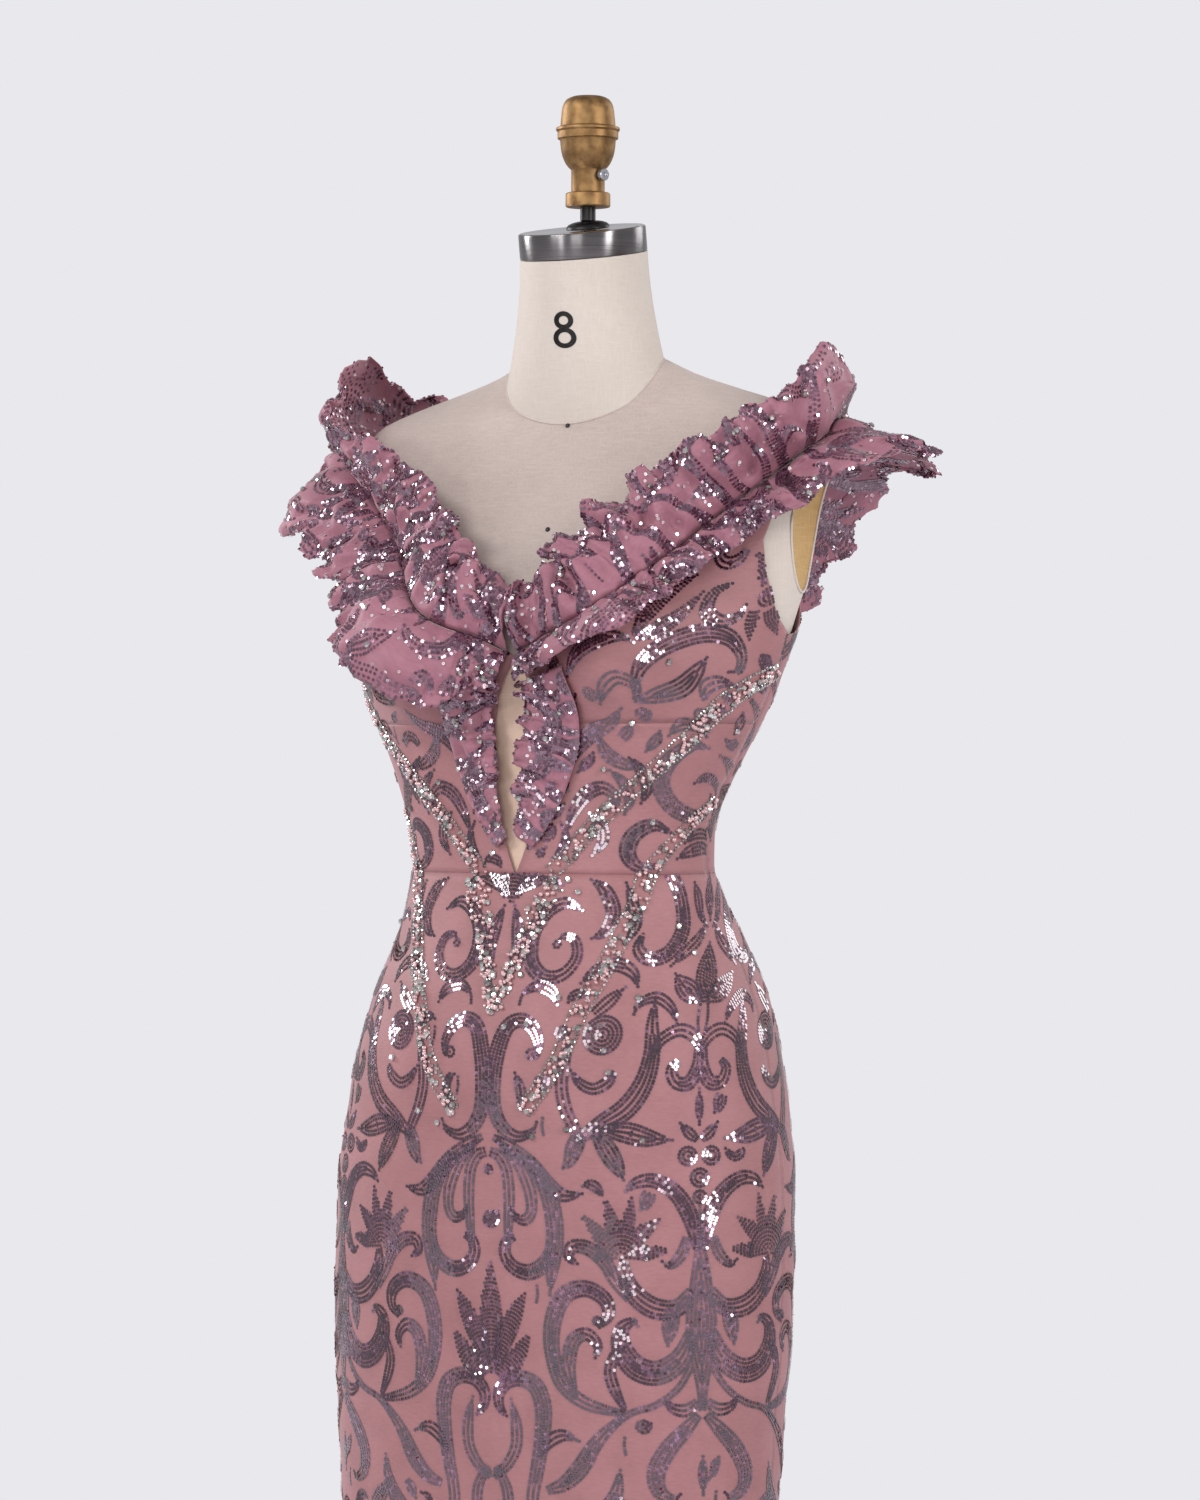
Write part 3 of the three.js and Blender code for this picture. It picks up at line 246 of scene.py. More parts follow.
# Scrolls of the bodice front, mirrored about arc 0
BODICE_STROKES: Strokes = (
    ((104, 1214, 1), (118, 1238, 5), (140, 1253, 6.5), (166, 1261, 6.5), (188, 1258, 5.5), (200, 1246, 4.5),
     (197, 1235, 3), (187, 1233, 1.2)),
    ((104, 1212, 1.5), (122, 1216, 5), (144, 1222, 6), (162, 1234, 4.5), (172, 1244, 1)),
    ((170, 1298, 1.5), (160, 1290, 4), (162, 1277, 5), (176, 1270, 4.5), (188, 1274, 3.5), (190, 1283, 1.2)),
    ((112, 1258, 2), (118, 1276, 6), (128, 1292, 5), (141, 1304, 0.8)),
    ((114, 1256, 2), (130, 1264, 6), (144, 1276, 4.5), (152, 1292, 0.8)),
    ((150, 1177, 1.5), (136, 1179, 4), (118, 1167, 5.5), (111, 1149, 6), (120, 1132, 6), (138, 1125, 5),
     (151, 1131, 3.5), (153, 1142, 1.2)),
    ((158, 1172, 1), (170, 1164, 4), (177, 1150, 5), (171, 1134, 5), (160, 1122, 3), (150, 1112, 1)),
    ((118, 1112, 1.5), (104, 1118, 4.5), (90, 1110, 5.5), (86, 1096, 5.5), (94, 1086, 4), (107, 1087, 2)),
    ((44, 1160, 1), (52, 1176, 4.5), (64, 1188, 5.5), (80, 1196, 4), (93, 1208, 1)),
    ((52, 1174, 2), (47, 1190, 5), (53, 1206, 4), (62, 1218, 0.8)),
    ((68, 1186, 2), (74, 1172, 5), (86, 1164, 4), (99, 1162, 0.8)),
    ((196, 1218, 1), (205, 1200, 5), (204, 1182, 5.5), (196, 1166, 4), (184, 1156, 1)),
    ((206, 1198, 2), (220, 1202, 5), (232, 1212, 3.5), (241, 1227, 0.8)),
    ((200, 1178, 2), (214, 1172, 5), (228, 1164, 4), (240, 1152, 0.8)),
    ((40, 1110, 1), (46, 1127, 4), (56, 1141, 5), (69, 1146, 4.5), (78, 1138, 3.5), (74, 1128, 2)),
    ((60, 1094, 1), (68, 1106, 4), (66, 1119, 4), (57, 1128, 1.2)),
    ((96, 1134, 1), (101, 1146, 4), (97, 1160, 4), (88, 1171, 1)),
    ((176, 1108, 1.5), (188, 1111, 4.5), (198, 1122, 5), (198, 1136, 4.5), (190, 1142, 3), (184, 1136, 1.2)),
    ((214, 1100, 1), (222, 1116, 5), (224, 1134, 5), (217, 1147, 3), (209, 1155, 0.8)),
    ((122, 1092, 1), (134, 1098, 4.5), (148, 1100, 4.5), (160, 1094, 1)),
    ((60, 1230, 1.5), (72, 1245, 5), (88, 1255, 5.5), (104, 1257, 3), (113, 1253, 1)),
    ((78, 1210, 1), (86, 1222, 4), (98, 1230, 4.5), (109, 1224, 4), (106, 1214, 2)),
    ((120, 1186, 1), (131, 1194, 4), (143, 1193, 4), (150, 1184, 1.2)),
    ((136, 1150, 1), (147, 1155, 3.5), (157, 1150, 3), (160, 1140, 1)),
    ((128, 1104, 1), (140, 1111, 4), (152, 1110, 3.5), (160, 1104, 1)),
    ((74, 1160, 1), (84, 1150, 4), (88, 1138, 4), (84, 1126, 1.2)),
    ((30, 1092, 1), (38, 1100, 3.5), (40, 1110, 3), (36, 1120, 1)),
    ((190, 1222, 1), (178, 1226, 4), (164, 1222, 4.5), (156, 1212, 2)),
)
BODICE_CROSS_STROKES: Strokes = (
    ((196, 1300, 4.5), (188, 1310, 5), (176, 1322, 0.6)),
    ((204, 1304, 4.5), (202, 1316, 5), (200, 1330, 0.6)),
    ((212, 1300, 4.5), (220, 1309, 5), (229, 1320, 0.6)),
    ((216, 1290, 4.5), (228, 1292, 5), (240, 1292, 0.6)),
    ((212, 1280, 4.5), (220, 1272, 5), (230, 1262, 0.6)),
    ((200, 1278, 4), (202, 1268, 4), (206, 1256, 0.6)),
)
BODICE_ROUNDS = (
    (204, 1290, 9, 0, 360), (150, 1200, 7, 0, 360), (74, 1218, 6, 0, 360), (178, 1214, 6, 0, 360),
)

# Beaded bands, mirrored: arc and level along each, then its width
LOWER_BAND = ((100, 1079), (97, 1060), (90, 1040), (80, 1010), (67, 978), (57, 948), (45, 926), (28, 903))
UPPER_BAND = (
    (30, 1082), (42, 1095), (62, 1118), (88, 1143), (120, 1172), (156, 1200), (184, 1216), (215, 1228),
    (240, 1236),
)
POINT_BAND = ((34, 1079), (24, 1052), (12, 1018), (2, 976))
SIDE_BAND = ((100, 1079), (112, 1096), (134, 1120), (160, 1138))
SCATTERED_GEMS = (
    (18, 1004), (-36, 968), (64, 956), (88, 950), (108, 988), (-104, 1020), (-118, 986), (-62, 902),
    (36, 886),
    (94, 1062), (50, 988), (118, 884), (62, 892), (-44, 894), (28, 968), (92, 934), (-30, 1060), (10, 966),
    (130, 1040), (-92, 940), (52, 1066), (146, 1020), (-140, 1040), (-20, 1096), (70, 1160), (104, 1120),
    (-70, 1150), (-50, 1190), (-110, 1130), (34, 1130), (52, 1180), (96, 1196), (140, 1240), (176, 1190),
)


def smooth_column(x: Sequence[float], y: Sequence[float]) -> Callable[[Array], Array]:
    """Makes the smooth curve through a table that never overshoots between its rows.

    Args:
        x: Rising positions of the rows.
        y: Values at those positions.

    Returns:
        A function that gives the value at any position, held at both ends.
    """
    xs, ys = np.asarray(x, float), np.asarray(y, float)
    step = np.diff(xs)
    slope = np.diff(ys) / step
    tangent = np.empty_like(ys)
    tangent[0], tangent[-1] = slope[0], slope[-1]
    before = 2 * step[1:] + step[:-1]
    after = step[1:] + 2 * step[:-1]
    rising = slope[:-1] * slope[1:] > 0
    safe_left = np.where(rising, slope[:-1], 1)
    safe_right = np.where(rising, slope[1:], 1)
    tangent[1:-1] = np.where(rising, (before + after) / (before / safe_left + after / safe_right), 0)

    def value(at: Array) -> Array:
        """Evaluates the curve at the given positions."""
        at = np.asarray(at, float)
        i = np.clip(np.searchsorted(xs, at) - 1, 0, len(xs) - 2)
        t = np.clip((at - xs[i]) / step[i], 0, 1)
        rest = 1 - t
        return (
            ys[i] * (1 + 2 * t) * rest**2
            + tangent[i] * step[i] * t * rest**2
            + ys[i + 1] * t**2 * (3 - 2 * t)
            - tangent[i + 1] * step[i] * t**2 * rest
        )

    return value


def unit(vectors: Array) -> Array:
    """Scales vectors to length one."""
    return vectors / np.maximum(np.linalg.norm(vectors, axis=-1, keepdims=True), 1e-9)


def round_turns(count: int) -> Array:
    """Gives even angles round a full turn, in radians."""
    return np.linspace(0, 2 * np.pi, count, endpoint=False)


def run_lengths(line: Array) -> Array:
    """Gives the length of a flat line up to each of its points."""
    return np.concatenate([[0], np.cumsum(np.hypot(*np.diff(line, axis=0).T))])


def extended(table: Array) -> Array:
    """Adds a row before the first and after the last row of a table, in line with its neighbours."""
    return np.vstack([2 * table[0] - table[1], table, 2 * table[-1] - table[-2]])


def surface_share(low: Array, high: Array, buried: Callable[[Array], Array]) -> Array:
    """Finds where lines leave a body, by halving.

    Args:
        low: Shares of each line that lie in the body.
        high: Shares of each line that lie outside it.
        buried: Tells which shares lie in the body.

    Returns:
        The shares just outside its surface.
    """
    for _ in range(24):
        middle = (low + high) / 2
        inside = buried(middle)
        low, high = np.where(inside, middle, low), np.where(inside, high, middle)
    return high


def soft_noise(x: Array, y: Array, seed: int) -> Array:
    """Sums a few slow sine waves in odd directions.

    Args:
        x: First coordinate, in wavelengths.
        y: Second coordinate, in wavelengths.
        seed: Choice of directions and phases.

    Returns:
        Values of about -1 to 1 that wander smoothly.
    """
    draw = np.random.default_rng(seed)
    total = np.zeros(np.broadcast(x, y).shape)
    waves = 7
    for _ in range(waves):
        turn, phase, pace = draw.uniform(0, 2 * np.pi), draw.uniform(0, 2 * np.pi), draw.uniform(0.6, 1.5)
        total = total + np.sin(2 * np.pi * pace * (x * np.cos(turn) + y * np.sin(turn)) + phase)
    return total / math.sqrt(waves)


@dataclass
class BodySurface:
    """The surface of the dress form, carried on as the gown's skirt down to the hem.

    The bust is a pair of mounds on the superelliptic sections.
    """

    bust_height: float = 44.0
    bust_x: float = 84.0
    bust_z: float = 1246.0
    bust_width: float = 54.0
    bust_above: float = 64.0
    bust_below: float = 50.0
    level_step: float = 4.0
    _columns: list = field(init=False, repr=False)
    _levels: Array = field(init=False, repr=False)
    _angles: Array = field(init=False, repr=False)
    _arcs: Array = field(init=False, repr=False)

    def __post_init__(self) -> None:
        """Fits the section curves and measures the arcs round the body."""
        rows = list(zip(*BODY_SECTIONS))
        self._columns = [smooth_column(rows[0], column) for column in rows[1:]]
        self._levels = np.arange(HEM_Z, TORSO_TOP + self.level_step, self.level_step)
        self._angles = np.linspace(-180, 180, 361)
        grid = self.point(self._angles[None, :], self._levels[:, None])
        steps = np.hypot(np.diff(grid[..., 0]), np.diff(grid[..., 1]))
        arcs = np.concatenate([np.zeros((len(grid), 1)), np.cumsum(steps, axis=1)], axis=1)
        self._arcs = arcs - arcs[:, 180:181]

    def point(self, angle: Array, z: Array) -> Array:
        """Gives the surface point at an angle and level."""
        angle, z = np.broadcast_arrays(np.asarray(angle, float), np.asarray(z, float))
        half, front, back, power = (column(z) for column in self._columns)
        across, facing = np.sin(np.radians(angle)), np.cos(np.radians(angle))
        exponent = 2 / power
        x = half * np.sign(across) * np.abs(across) ** exponent
        y = (front + back) / 2 - (back - front) / 2 * np.sign(facing) * np.abs(facing) ** exponent
        spread = np.where(z > self.bust_z, self.bust_above, self.bust_below)
        level = np.exp(-(((z - self.bust_z) / spread) ** 2))
        mounds = sum(np.exp(-(((x - side * self.bust_x) / self.bust_width) ** 2)) for side in (-1, 1))
        y = y - self.bust_height * level * mounds * np.clip(3 * facing, 0, 1)
        return np.stack([x, y, z], axis=-1)

    def frame(self, angle: Array, z: Array) -> tuple[Array, Array, Array]:
        """Gives the two surface tangents, per degree and per millimetre, and the outward normal."""
        angle, z = np.broadcast_arrays(np.asarray(angle, float), np.asarray(z, float))
        along_angle = (self.point(angle + 0.1, z) - self.point(angle - 0.1, z)) / 0.2
        along_z = self.point(angle, z + 0.5) - self.point(angle, z - 0.5)
        return along_angle, along_z, unit(np.cross(along_angle, along_z))

    def lifted(self, angle: Array, z: Array, offset: Array) -> Array:
        """Gives the point at a distance off the surface."""
        normal = self.frame(angle, z)[2]
        return self.point(angle, z) + normal * np.asarray(offset, float)[..., None]

    def walk(self, angle: Array, z: Array, heading: Array, length: Array, steps: int) -> tuple[Array, Array]:
        """Walks over the surface.

        Args:
            angle: Angle of each start.
            z: Level of each start.
            heading: Direction in space, laid flat on the surface at every step.
            length: Length of each walk.
            steps: Number of steps.

        Returns:
            The angle and level of each end.
        """
        angle, z = np.array(angle, float), np.array(z, float)
        for _ in range(steps):
            along_angle, along_z, normal = self.frame(angle, z)
            flat = unit(heading - normal * np.sum(heading * normal, -1, keepdims=True))
            way = flat * (np.asarray(length) / steps)[..., None]
            aa, az, zz = (np.sum(p * q, -1) for p, q in
                          ((along_angle, along_angle), (along_angle, along_z), (along_z, along_z)))
            wa, wz = np.sum(way * along_angle, -1), np.sum(way * along_z, -1)
            det = aa * zz - az * az
            angle = angle + (wa * zz - wz * az) / det
            z = np.minimum(z + (wz * aa - wa * az) / det, TORSO_TOP - 1)
        return angle, z

    def arc_at(self, angle: Array, z: Array) -> Array:
        """Gives the arc from centre front to an angle, at a level."""
        row = np.clip((np.asarray(z, float) - HEM_Z) / self.level_step, 0, len(self._levels) - 1.001)
        column = np.clip(np.asarray(angle, float) + 180, 0, 359.999)
        i, j = row.astype(int), column.astype(int)
        a, b = row - i, column - j
        arcs = self._arcs
        low = arcs[i, j] * (1 - b) + arcs[i, j + 1] * b
        high = arcs[i + 1, j] * (1 - b) + arcs[i + 1, j + 1] * b
        return low * (1 - a) + high * a

    def angle_at(self, arc: Array, z: Array) -> Array:
        """Gives the angle at which an arc ends, at a level; not a number past centre back."""
        arc, z = np.asarray(arc, float), np.asarray(z, float)
        row = np.clip((z - HEM_Z) / self.level_step, 0, len(self._levels) - 1.001)
        low = row.astype(int)
        angle = np.full(arc.shape, np.nan)
        for i in np.unique(low):
            here = low == i
            share = row[here] - i
            ends = [np.interp(arc[here], self._arcs[k], self._angles, np.nan, np.nan) for k in (i, i + 1)]
            angle[here] = ends[0] * (1 - share) + ends[1] * share
        return angle

    def holds(self, point: Array) -> Array:
        """Tells whether points lie within the sections at their levels."""
        half, front, back, power = (column(point[..., 2]) for column in self._columns)
        across = np.abs(point[..., 0] / half) ** power
        return across + np.abs((point[..., 1] - (front + back) / 2) / ((back - front) / 2)) ** power < 1


BODY = BodySurface()
KEYHOLE_HALF_ANGLE = smooth_column(*zip(*KEYHOLE))


def linked(name: str, data: bpy.types.ID) -> Piece:
    """Makes an object of some data and links it to the scene."""
    piece = bpy.data.objects.new(name, data)
    bpy.context.scene.collection.objects.link(piece)
    return piece


def mesh_object(name: str, points: Array, faces: Sequence[Sequence[int]], material: Material,
                uv: Optional[Array] = None, smooth: bool = True) -> Piece:
    """Makes a mesh object from points in millimetres.

    Args:
        name: The piece's name.
        points: Corner points, one row each.
        faces: Corner numbers of each face.
        material: Its finish.
        uv: Arc and level of each point in millimetres, for a pattern that follows the cloth.
        smooth: Whether the faces are shaded smooth.

    Returns:
        The linked object, in metres.
    """
    mesh = bpy.data.meshes.new(name)
    mesh.from_pydata((np.asarray(points) * MM).tolist(), [], [list(map(int, f)) for f in faces])
    if uv is not None:
        layer = mesh.uv_layers.new(name="UVMap")
        corners = np.empty(len(mesh.loops), np.int32)
        mesh.loops.foreach_get("vertex_index", corners)
        layer.data.foreach_set("uv", (np.asarray(uv)[corners] * MM).astype(np.float32).ravel())
    mesh.polygons.foreach_set("use_smooth", [smooth] * len(mesh.polygons))
    mesh.materials.append(material)
    mesh.update()
    return linked(name, mesh)


def grid_area(grid: Array) -> float:
    """Gives the surface of a grid of points in square metres."""
    a, b = grid[1:, 1:] - grid[:-1, :-1], grid[1:, :-1] - grid[:-1, 1:]
    return float(np.linalg.norm(np.cross(a, b), axis=-1).sum() / 2 * MM**2)


def grid_normals(grid: Array) -> Array:
    """Gives the unit normal at each point of a grid, rows crossed with columns."""
    return unit(np.cross(np.gradient(grid, axis=1), np.gradient(grid, axis=0)))


def shell_object(name: str, outer: Array, normals: Array, thickness: float, uv: Array,
                 material: Material) -> Piece:
    """Makes a closed shell of cloth under a grid of points.

    Args:
        name: The piece's name.
        outer: Grid of points on the cloth's right side.
        normals: Outward unit normals at those points.
        thickness: The cloth's thickness.
        uv: Grid of arc and level for the pattern.
        material: Its finish.

    Returns:
        The linked object.
    """
    rows, columns = outer.shape[:2]
    points = np.concatenate([outer.reshape(-1, 3), (outer - normals * thickness).reshape(-1, 3)])
    back = rows * columns
    index = np.arange(back).reshape(rows, columns)
    quads = np.stack([index[:-1, :-1], index[:-1, 1:], index[1:, 1:], index[1:, :-1]], -1).reshape(-1, 4)
    faces = [quads, quads[:, ::-1] + back]
    for line, flip in ((index[0], True), (index[-1], False), (index[:, 0], False), (index[:, -1], True)):
        rim = np.stack([line[:-1], line[1:], line[1:] + back, line[:-1] + back], -1)
        faces.append(rim[:, ::-1] if flip else rim)
    faces = np.concatenate(faces)
    a, b, c = (outer[i, j] for i, j in ((0, 0), (0, 1), (1, 1)))
    if np.dot(np.cross(b - a, c - b), normals[0, 0]) < 0:
        faces = faces[:, ::-1]
    flat = uv.reshape(-1, 2)
    return mesh_object(name, points, faces, material, np.concatenate([flat, flat]))


def ring_solid(rings: Array, bottom: Sequence[float], top: Sequence[float]) -> tuple[Array, list[list[int]]]:
    """Closes a stack of rings into one body, with a fan of triangles at each end.

    Args:
        rings: Grid of points, a ring in each row, from the lowest up.
        bottom: Point in the middle of the lowest ring.
        top: Point in the middle of the highest ring.

    Returns:
        The points, and faces that look outwards.
    """
    rows, columns = rings.shape[:2]
    foot = rows * columns
    index = np.arange(foot).reshape(rows, columns)
    turned = np.roll(index, -1, axis=1)
    faces = np.stack([index[:-1], turned[:-1], turned[1:], index[1:]], -1).reshape(-1, 4).tolist()
    faces += [[foot, turned[0, j], index[0, j]] for j in range(columns)]
    faces += [[foot + 1, index[-1, j], turned[-1, j]] for j in range(columns)]
    return np.concatenate([rings.reshape(-1, 3), [bottom, top]]), faces


def leaned(points: Array, degrees: float) -> Array:
    """Turns points back about the X axis."""
    sine, cosine = math.sin(math.radians(degrees)), math.cos(math.radians(degrees))
    return points @ np.array([[1, 0, 0], [0, cosine, -sine], [0, sine, cosine]]).T


def lathe_object(name: str, profile: Rows, centre: Sequence[float], material: Material, segments: int = 96,
                 tilt: float = 0.0) -> Piece:
    """Turns a closed profile about Z, smooth apart from edges sharper than 35 degrees.

    Args:
        name: The piece's name.
        profile: Radius and height pairs, the first and last on the axis.
        centre: Where its foot's centre lies.
        material: Its finish.
        segments: Number of steps round.
        tilt: Degrees that it leans back about X through its foot's centre.

    Returns:
        The linked object.
    """
    turns = round_turns(segments)
    rings = np.array([np.stack([r * np.cos(turns), r * np.sin(turns), np.full(segments, h)], -1)
                      for r, h in profile[1:-1]])
    points, faces = ring_solid(rings, [0, 0, profile[0][1]], [0, 0, profile[-1][1]])
    piece = mesh_object(name, leaned(points, tilt) + np.asarray(centre, float), faces, material)
    piece.data.set_sharp_from_angle(angle=math.radians(35))
    return piece


def ring_tube(name: str, path: Array, radius: float, material: Material) -> Piece:
    """Sweeps a round section along a closed path."""
    sides = 8
    run = unit(np.roll(path, -1, 0) - np.roll(path, 1, 0))
    side = unit(np.cross(run, [0.13, 0.21, 0.97]))[:, None]
    up = np.cross(side, run[:, None])
    turns = round_turns(sides)[:, None]
    rings = path[:, None] + radius * (np.cos(turns) * side + np.sin(turns) * up)
    index = np.arange(len(path) * sides).reshape(-1, sides)
    ahead = np.roll(index, -1, axis=0)
    faces = np.stack([index, ahead, np.roll(ahead, -1, axis=1), np.roll(index, -1, axis=1)], -1)
    return mesh_object(name, rings.reshape(-1, 3), faces.reshape(-1, 4), material)


def settle(piece: Piece, slot: str, *nodes: str) -> Piece:
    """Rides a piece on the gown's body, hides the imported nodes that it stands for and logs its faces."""
    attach(piece, GOWN_BODY)
    if nodes:
        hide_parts(*nodes)
    LOG.info("%s: %d faces", piece.name, len(piece.data.polygons))
    return piece


# Finishes


def linear(code: str) -> tuple[float, float, float, float]:
    """Turns an sRGB hex colour into linear values with an alpha of one."""
    parts = [int(code[i:i + 2], 16) / 255 for i in (1, 3, 5)]
    red, green, blue = (p / 12.92 if p <= 0.04045 else ((p + 0.055) / 1.055) ** 2.4 for p in parts)
    return red, green, blue, 1.0


def wire(tree: bpy.types.NodeTree, node: bpy.types.Node, inputs: dict) -> bpy.types.Node:
    """Sets a node's inputs, by socket name or number, to a value or to an output socket that is linked."""
    for key, value in inputs.items():
        if isinstance(value, bpy.types.NodeSocket):
            tree.links.new(value, node.inputs[key])
        else:
            node.inputs[key].default_value = value
    return node


def add_node(tree: bpy.types.NodeTree, kind: str, settings: Optional[dict] = None,
             inputs: Optional[dict] = None) -> bpy.types.Node:
    """Adds a node.

    Args:
        tree: The tree that gets it.
        kind: Its type's name.
        settings: Values of the node's own properties.
        inputs: Values or links of its inputs.

    Returns:
        The new node.
    """
    node = tree.nodes.new(kind)
    for key, value in (settings or {}).items():
        setattr(node, key, value)
    return wire(tree, node, inputs or {})


def new_finish(name: str) -> tuple[Material, bpy.types.NodeTree, bpy.types.Node]:
    """Makes an empty node material and gives it, its tree and its shader."""
    material = bpy.data.materials.new(name)
    material.use_nodes = True
    return material, material.node_tree, material.node_tree.nodes["Principled BSDF"]


def ramp_colours(tree: bpy.types.NodeTree, factor: bpy.types.NodeSocket, stops: Sequence[tuple[float, str]]
                 ) -> bpy.types.NodeSocket:
    """Adds a colour ramp over a factor and gives its colour."""
    node = add_node(tree, "ShaderNodeValToRGB", inputs={0: factor})
    elements = node.color_ramp.elements
    while len(elements) < len(stops):
        elements.new(0.5)
    for element, (at, code) in zip(elements, stops):
        element.position = at
        element.color = linear(code)
    return node.outputs[0]


def noise(tree: bpy.types.NodeTree, place: bpy.types.NodeSocket, detail: float, scale: float = 1.0,
          stretch: Optional[tuple[float, float, float]] = None) -> bpy.types.NodeSocket:
    """Adds noise over a place and gives its value; a stretch sets how fine it is along each axis."""
    if stretch:
        place = add_node(tree, "ShaderNodeMapping", inputs={"Vector": place, "Scale": stretch}).outputs[0]
    inputs = {"Vector": place, "Scale": scale, "Detail": detail}
    return add_node(tree, "ShaderNodeTexNoise", inputs=inputs).outputs["Fac"]


def blend(tree: bpy.types.NodeTree, share: float, first: bpy.types.NodeSocket,
          second: bpy.types.NodeSocket) -> bpy.types.NodeSocket:
    """Mixes two values and gives the result."""
    return add_node(tree, "ShaderNodeMix", {"data_type": "FLOAT"}, {0: share, 2: first, 3: second}).outputs[0]


def relief(tree: bpy.types.NodeTree, height: bpy.types.NodeSocket, strength: float,
           depth_mm: float) -> bpy.types.NodeSocket:
    """Turns a height into a bump of some depth and gives its normal."""
    inputs = {"Height": height, "Strength": strength, "Distance": depth_mm * MM}
    return add_node(tree, "ShaderNodeBump", inputs=inputs).outputs[0]


@dataclass(frozen=True)
class NetCloth:
    """Nylon net and chiffon, dyed dusty rose: fine cross ribs and a faint sheen of the filaments."""

    name: str
    deep: str
    pale: str
    rib_mm: float = 2.0
    roughness: float = 0.62
    sheen: float = 0.35

    def build(self) -> Material:
        """Makes the material; the ribs are drawn twice as coarse as the 1 mm net, so that they show."""
        material, tree, shader = new_finish(self.name)
        place = add_node(tree, "ShaderNodeTexCoord").outputs["UV"]
        cloud = noise(tree, place, 3.0, 26.0)
        rib = noise(tree, place, 1.0, stretch=(180.0, 1000.0 / self.rib_mm, 1.0))
        mixed = blend(tree, 0.35, cloud, rib)
        wire(tree, shader, {
            "Base Color": ramp_colours(tree, mixed, ((0.3, self.deep), (0.7, self.pale))),
            "Normal": relief(tree, rib, 0.25, 0.6), "Roughness": self.roughness,
            "Sheen Weight": self.sheen, "Sheen Roughness": 0.4, "Sheen Tint": linear("#f2dfe4"),
        })
        return material


@dataclass(frozen=True)
class Linen:
    """Plain-weave linen stretched over the form: slubs both ways, matt and slightly uneven."""

    name: str
    deep: str
    pale: str
    thread_mm: float = 1.2

    def build(self) -> Material:
        """Makes the material; threads are drawn twice as coarse as real, so that they show."""
        material, tree, shader = new_finish(self.name)
        place = add_node(tree, "ShaderNodeTexCoord").outputs["Object"]
        fine = 1000.0 / self.thread_mm
        slub = fine / 9
        threads = [noise(tree, place, 1.0, stretch=way) for way in ((fine, fine, slub), (slub, slub, fine))]
        higher = add_node(tree, "ShaderNodeMath", {"operation": "MAXIMUM"}, dict(enumerate(threads)))
        weave = higher.outputs[0]
        mixed = blend(tree, 0.5, weave, noise(tree, place, 4.0, 9.0))
        wire(tree, shader, {
            "Base Color": ramp_colours(tree, mixed, ((0.36, self.deep), (0.7, self.pale))),
            "Normal": relief(tree, weave, 0.3, 0.4), "Roughness": 0.92, "Sheen Weight": 0.15,
        })
        return material


@dataclass(frozen=True)
class Metal:
    """A bare metal part: brushed, cast or plated, with marks left by its making."""

    name: str
    deep: str
    pale: str
    roughness: float
    grain_scale: tuple[float, float, float] = (300.0, 300.0, 300.0)
    bump_mm: float = 0.15
    metallic: float = 1.0
    brushed: float = 0.0

    def build(self) -> Material:
        """Makes the material; its grain runs the way that the tool or mould left it."""
        material, tree, shader = new_finish(self.name)
        place = add_node(tree, "ShaderNodeTexCoord").outputs["Object"]
        grain = noise(tree, place, 4.0, stretch=self.grain_scale)
        rough = add_node(tree, "ShaderNodeMapRange",
                         inputs={0: grain, 3: self.roughness * 0.75, 4: self.roughness * 1.25})
        wire(tree, shader, {
            "Base Color": ramp_colours(tree, grain, ((0.34, self.deep), (0.66, self.pale))),
            "Roughness": rough.outputs[0], "Normal": relief(tree, grain, 0.5, self.bump_mm),
            "Metallic": self.metallic,
        })
        if self.brushed:
            tangent = add_node(tree, "ShaderNodeTangent", {"direction_type": "RADIAL", "axis": "Z"})
            wire(tree, shader, {"Anisotropic": self.brushed, "Anisotropic Rotation": 0.25,
                                "Tangent": tangent.outputs[0]})
        return material


@dataclass(frozen=True)
class Sequin:
    """Punched polyester sequin, metallised plum: mirror-like facets, a hole darkened with painted shade, and
    a clear hard face.
    """

    name: str
    deep: str
    middle: str
    pale: str
    roughness: float = 0.2

    def build(self) -> Material:
        """Makes the material; the hole is drawn from the sequin's own UV, centred on 0.5, and darkened as
        painted shade.
        """
        material, tree, shader = new_finish(self.name)
        tint = add_node(tree, "ShaderNodeAttribute", {"attribute_name": "tint"}).outputs["Fac"]
        body = ramp_colours(tree, tint, ((0.0, self.deep), (0.55, self.middle), (1.0, self.pale)))
        uv = add_node(tree, "ShaderNodeTexCoord").outputs["UV"]
        radius = add_node(tree, "ShaderNodeVectorMath", {"operation": "DISTANCE"},
                          {0: uv, 1: (0.5, 0.5, 0.0)})
        # Painted shade: the hole is real, and its dark stands in for the shade over the cloth beneath it.
        hole = add_node(tree, "ShaderNodeMapRange",
                        inputs={0: radius.outputs["Value"], 1: 0.1, 2: 0.16, 3: 0.25, 4: 1.0})
        shade = add_node(tree, "ShaderNodeMix", {"data_type": "RGBA", "blend_type": "MULTIPLY"},
                         {0: 1.0, 6: body, 7: hole.outputs[0]})
        wire(tree, shader, {"Base Color": shade.outputs[2], "Metallic": 0.5, "Roughness": self.roughness,
                            "Coat Weight": 1.0, "Coat IOR": 1.9, "Coat Roughness": 0.06})
        return material


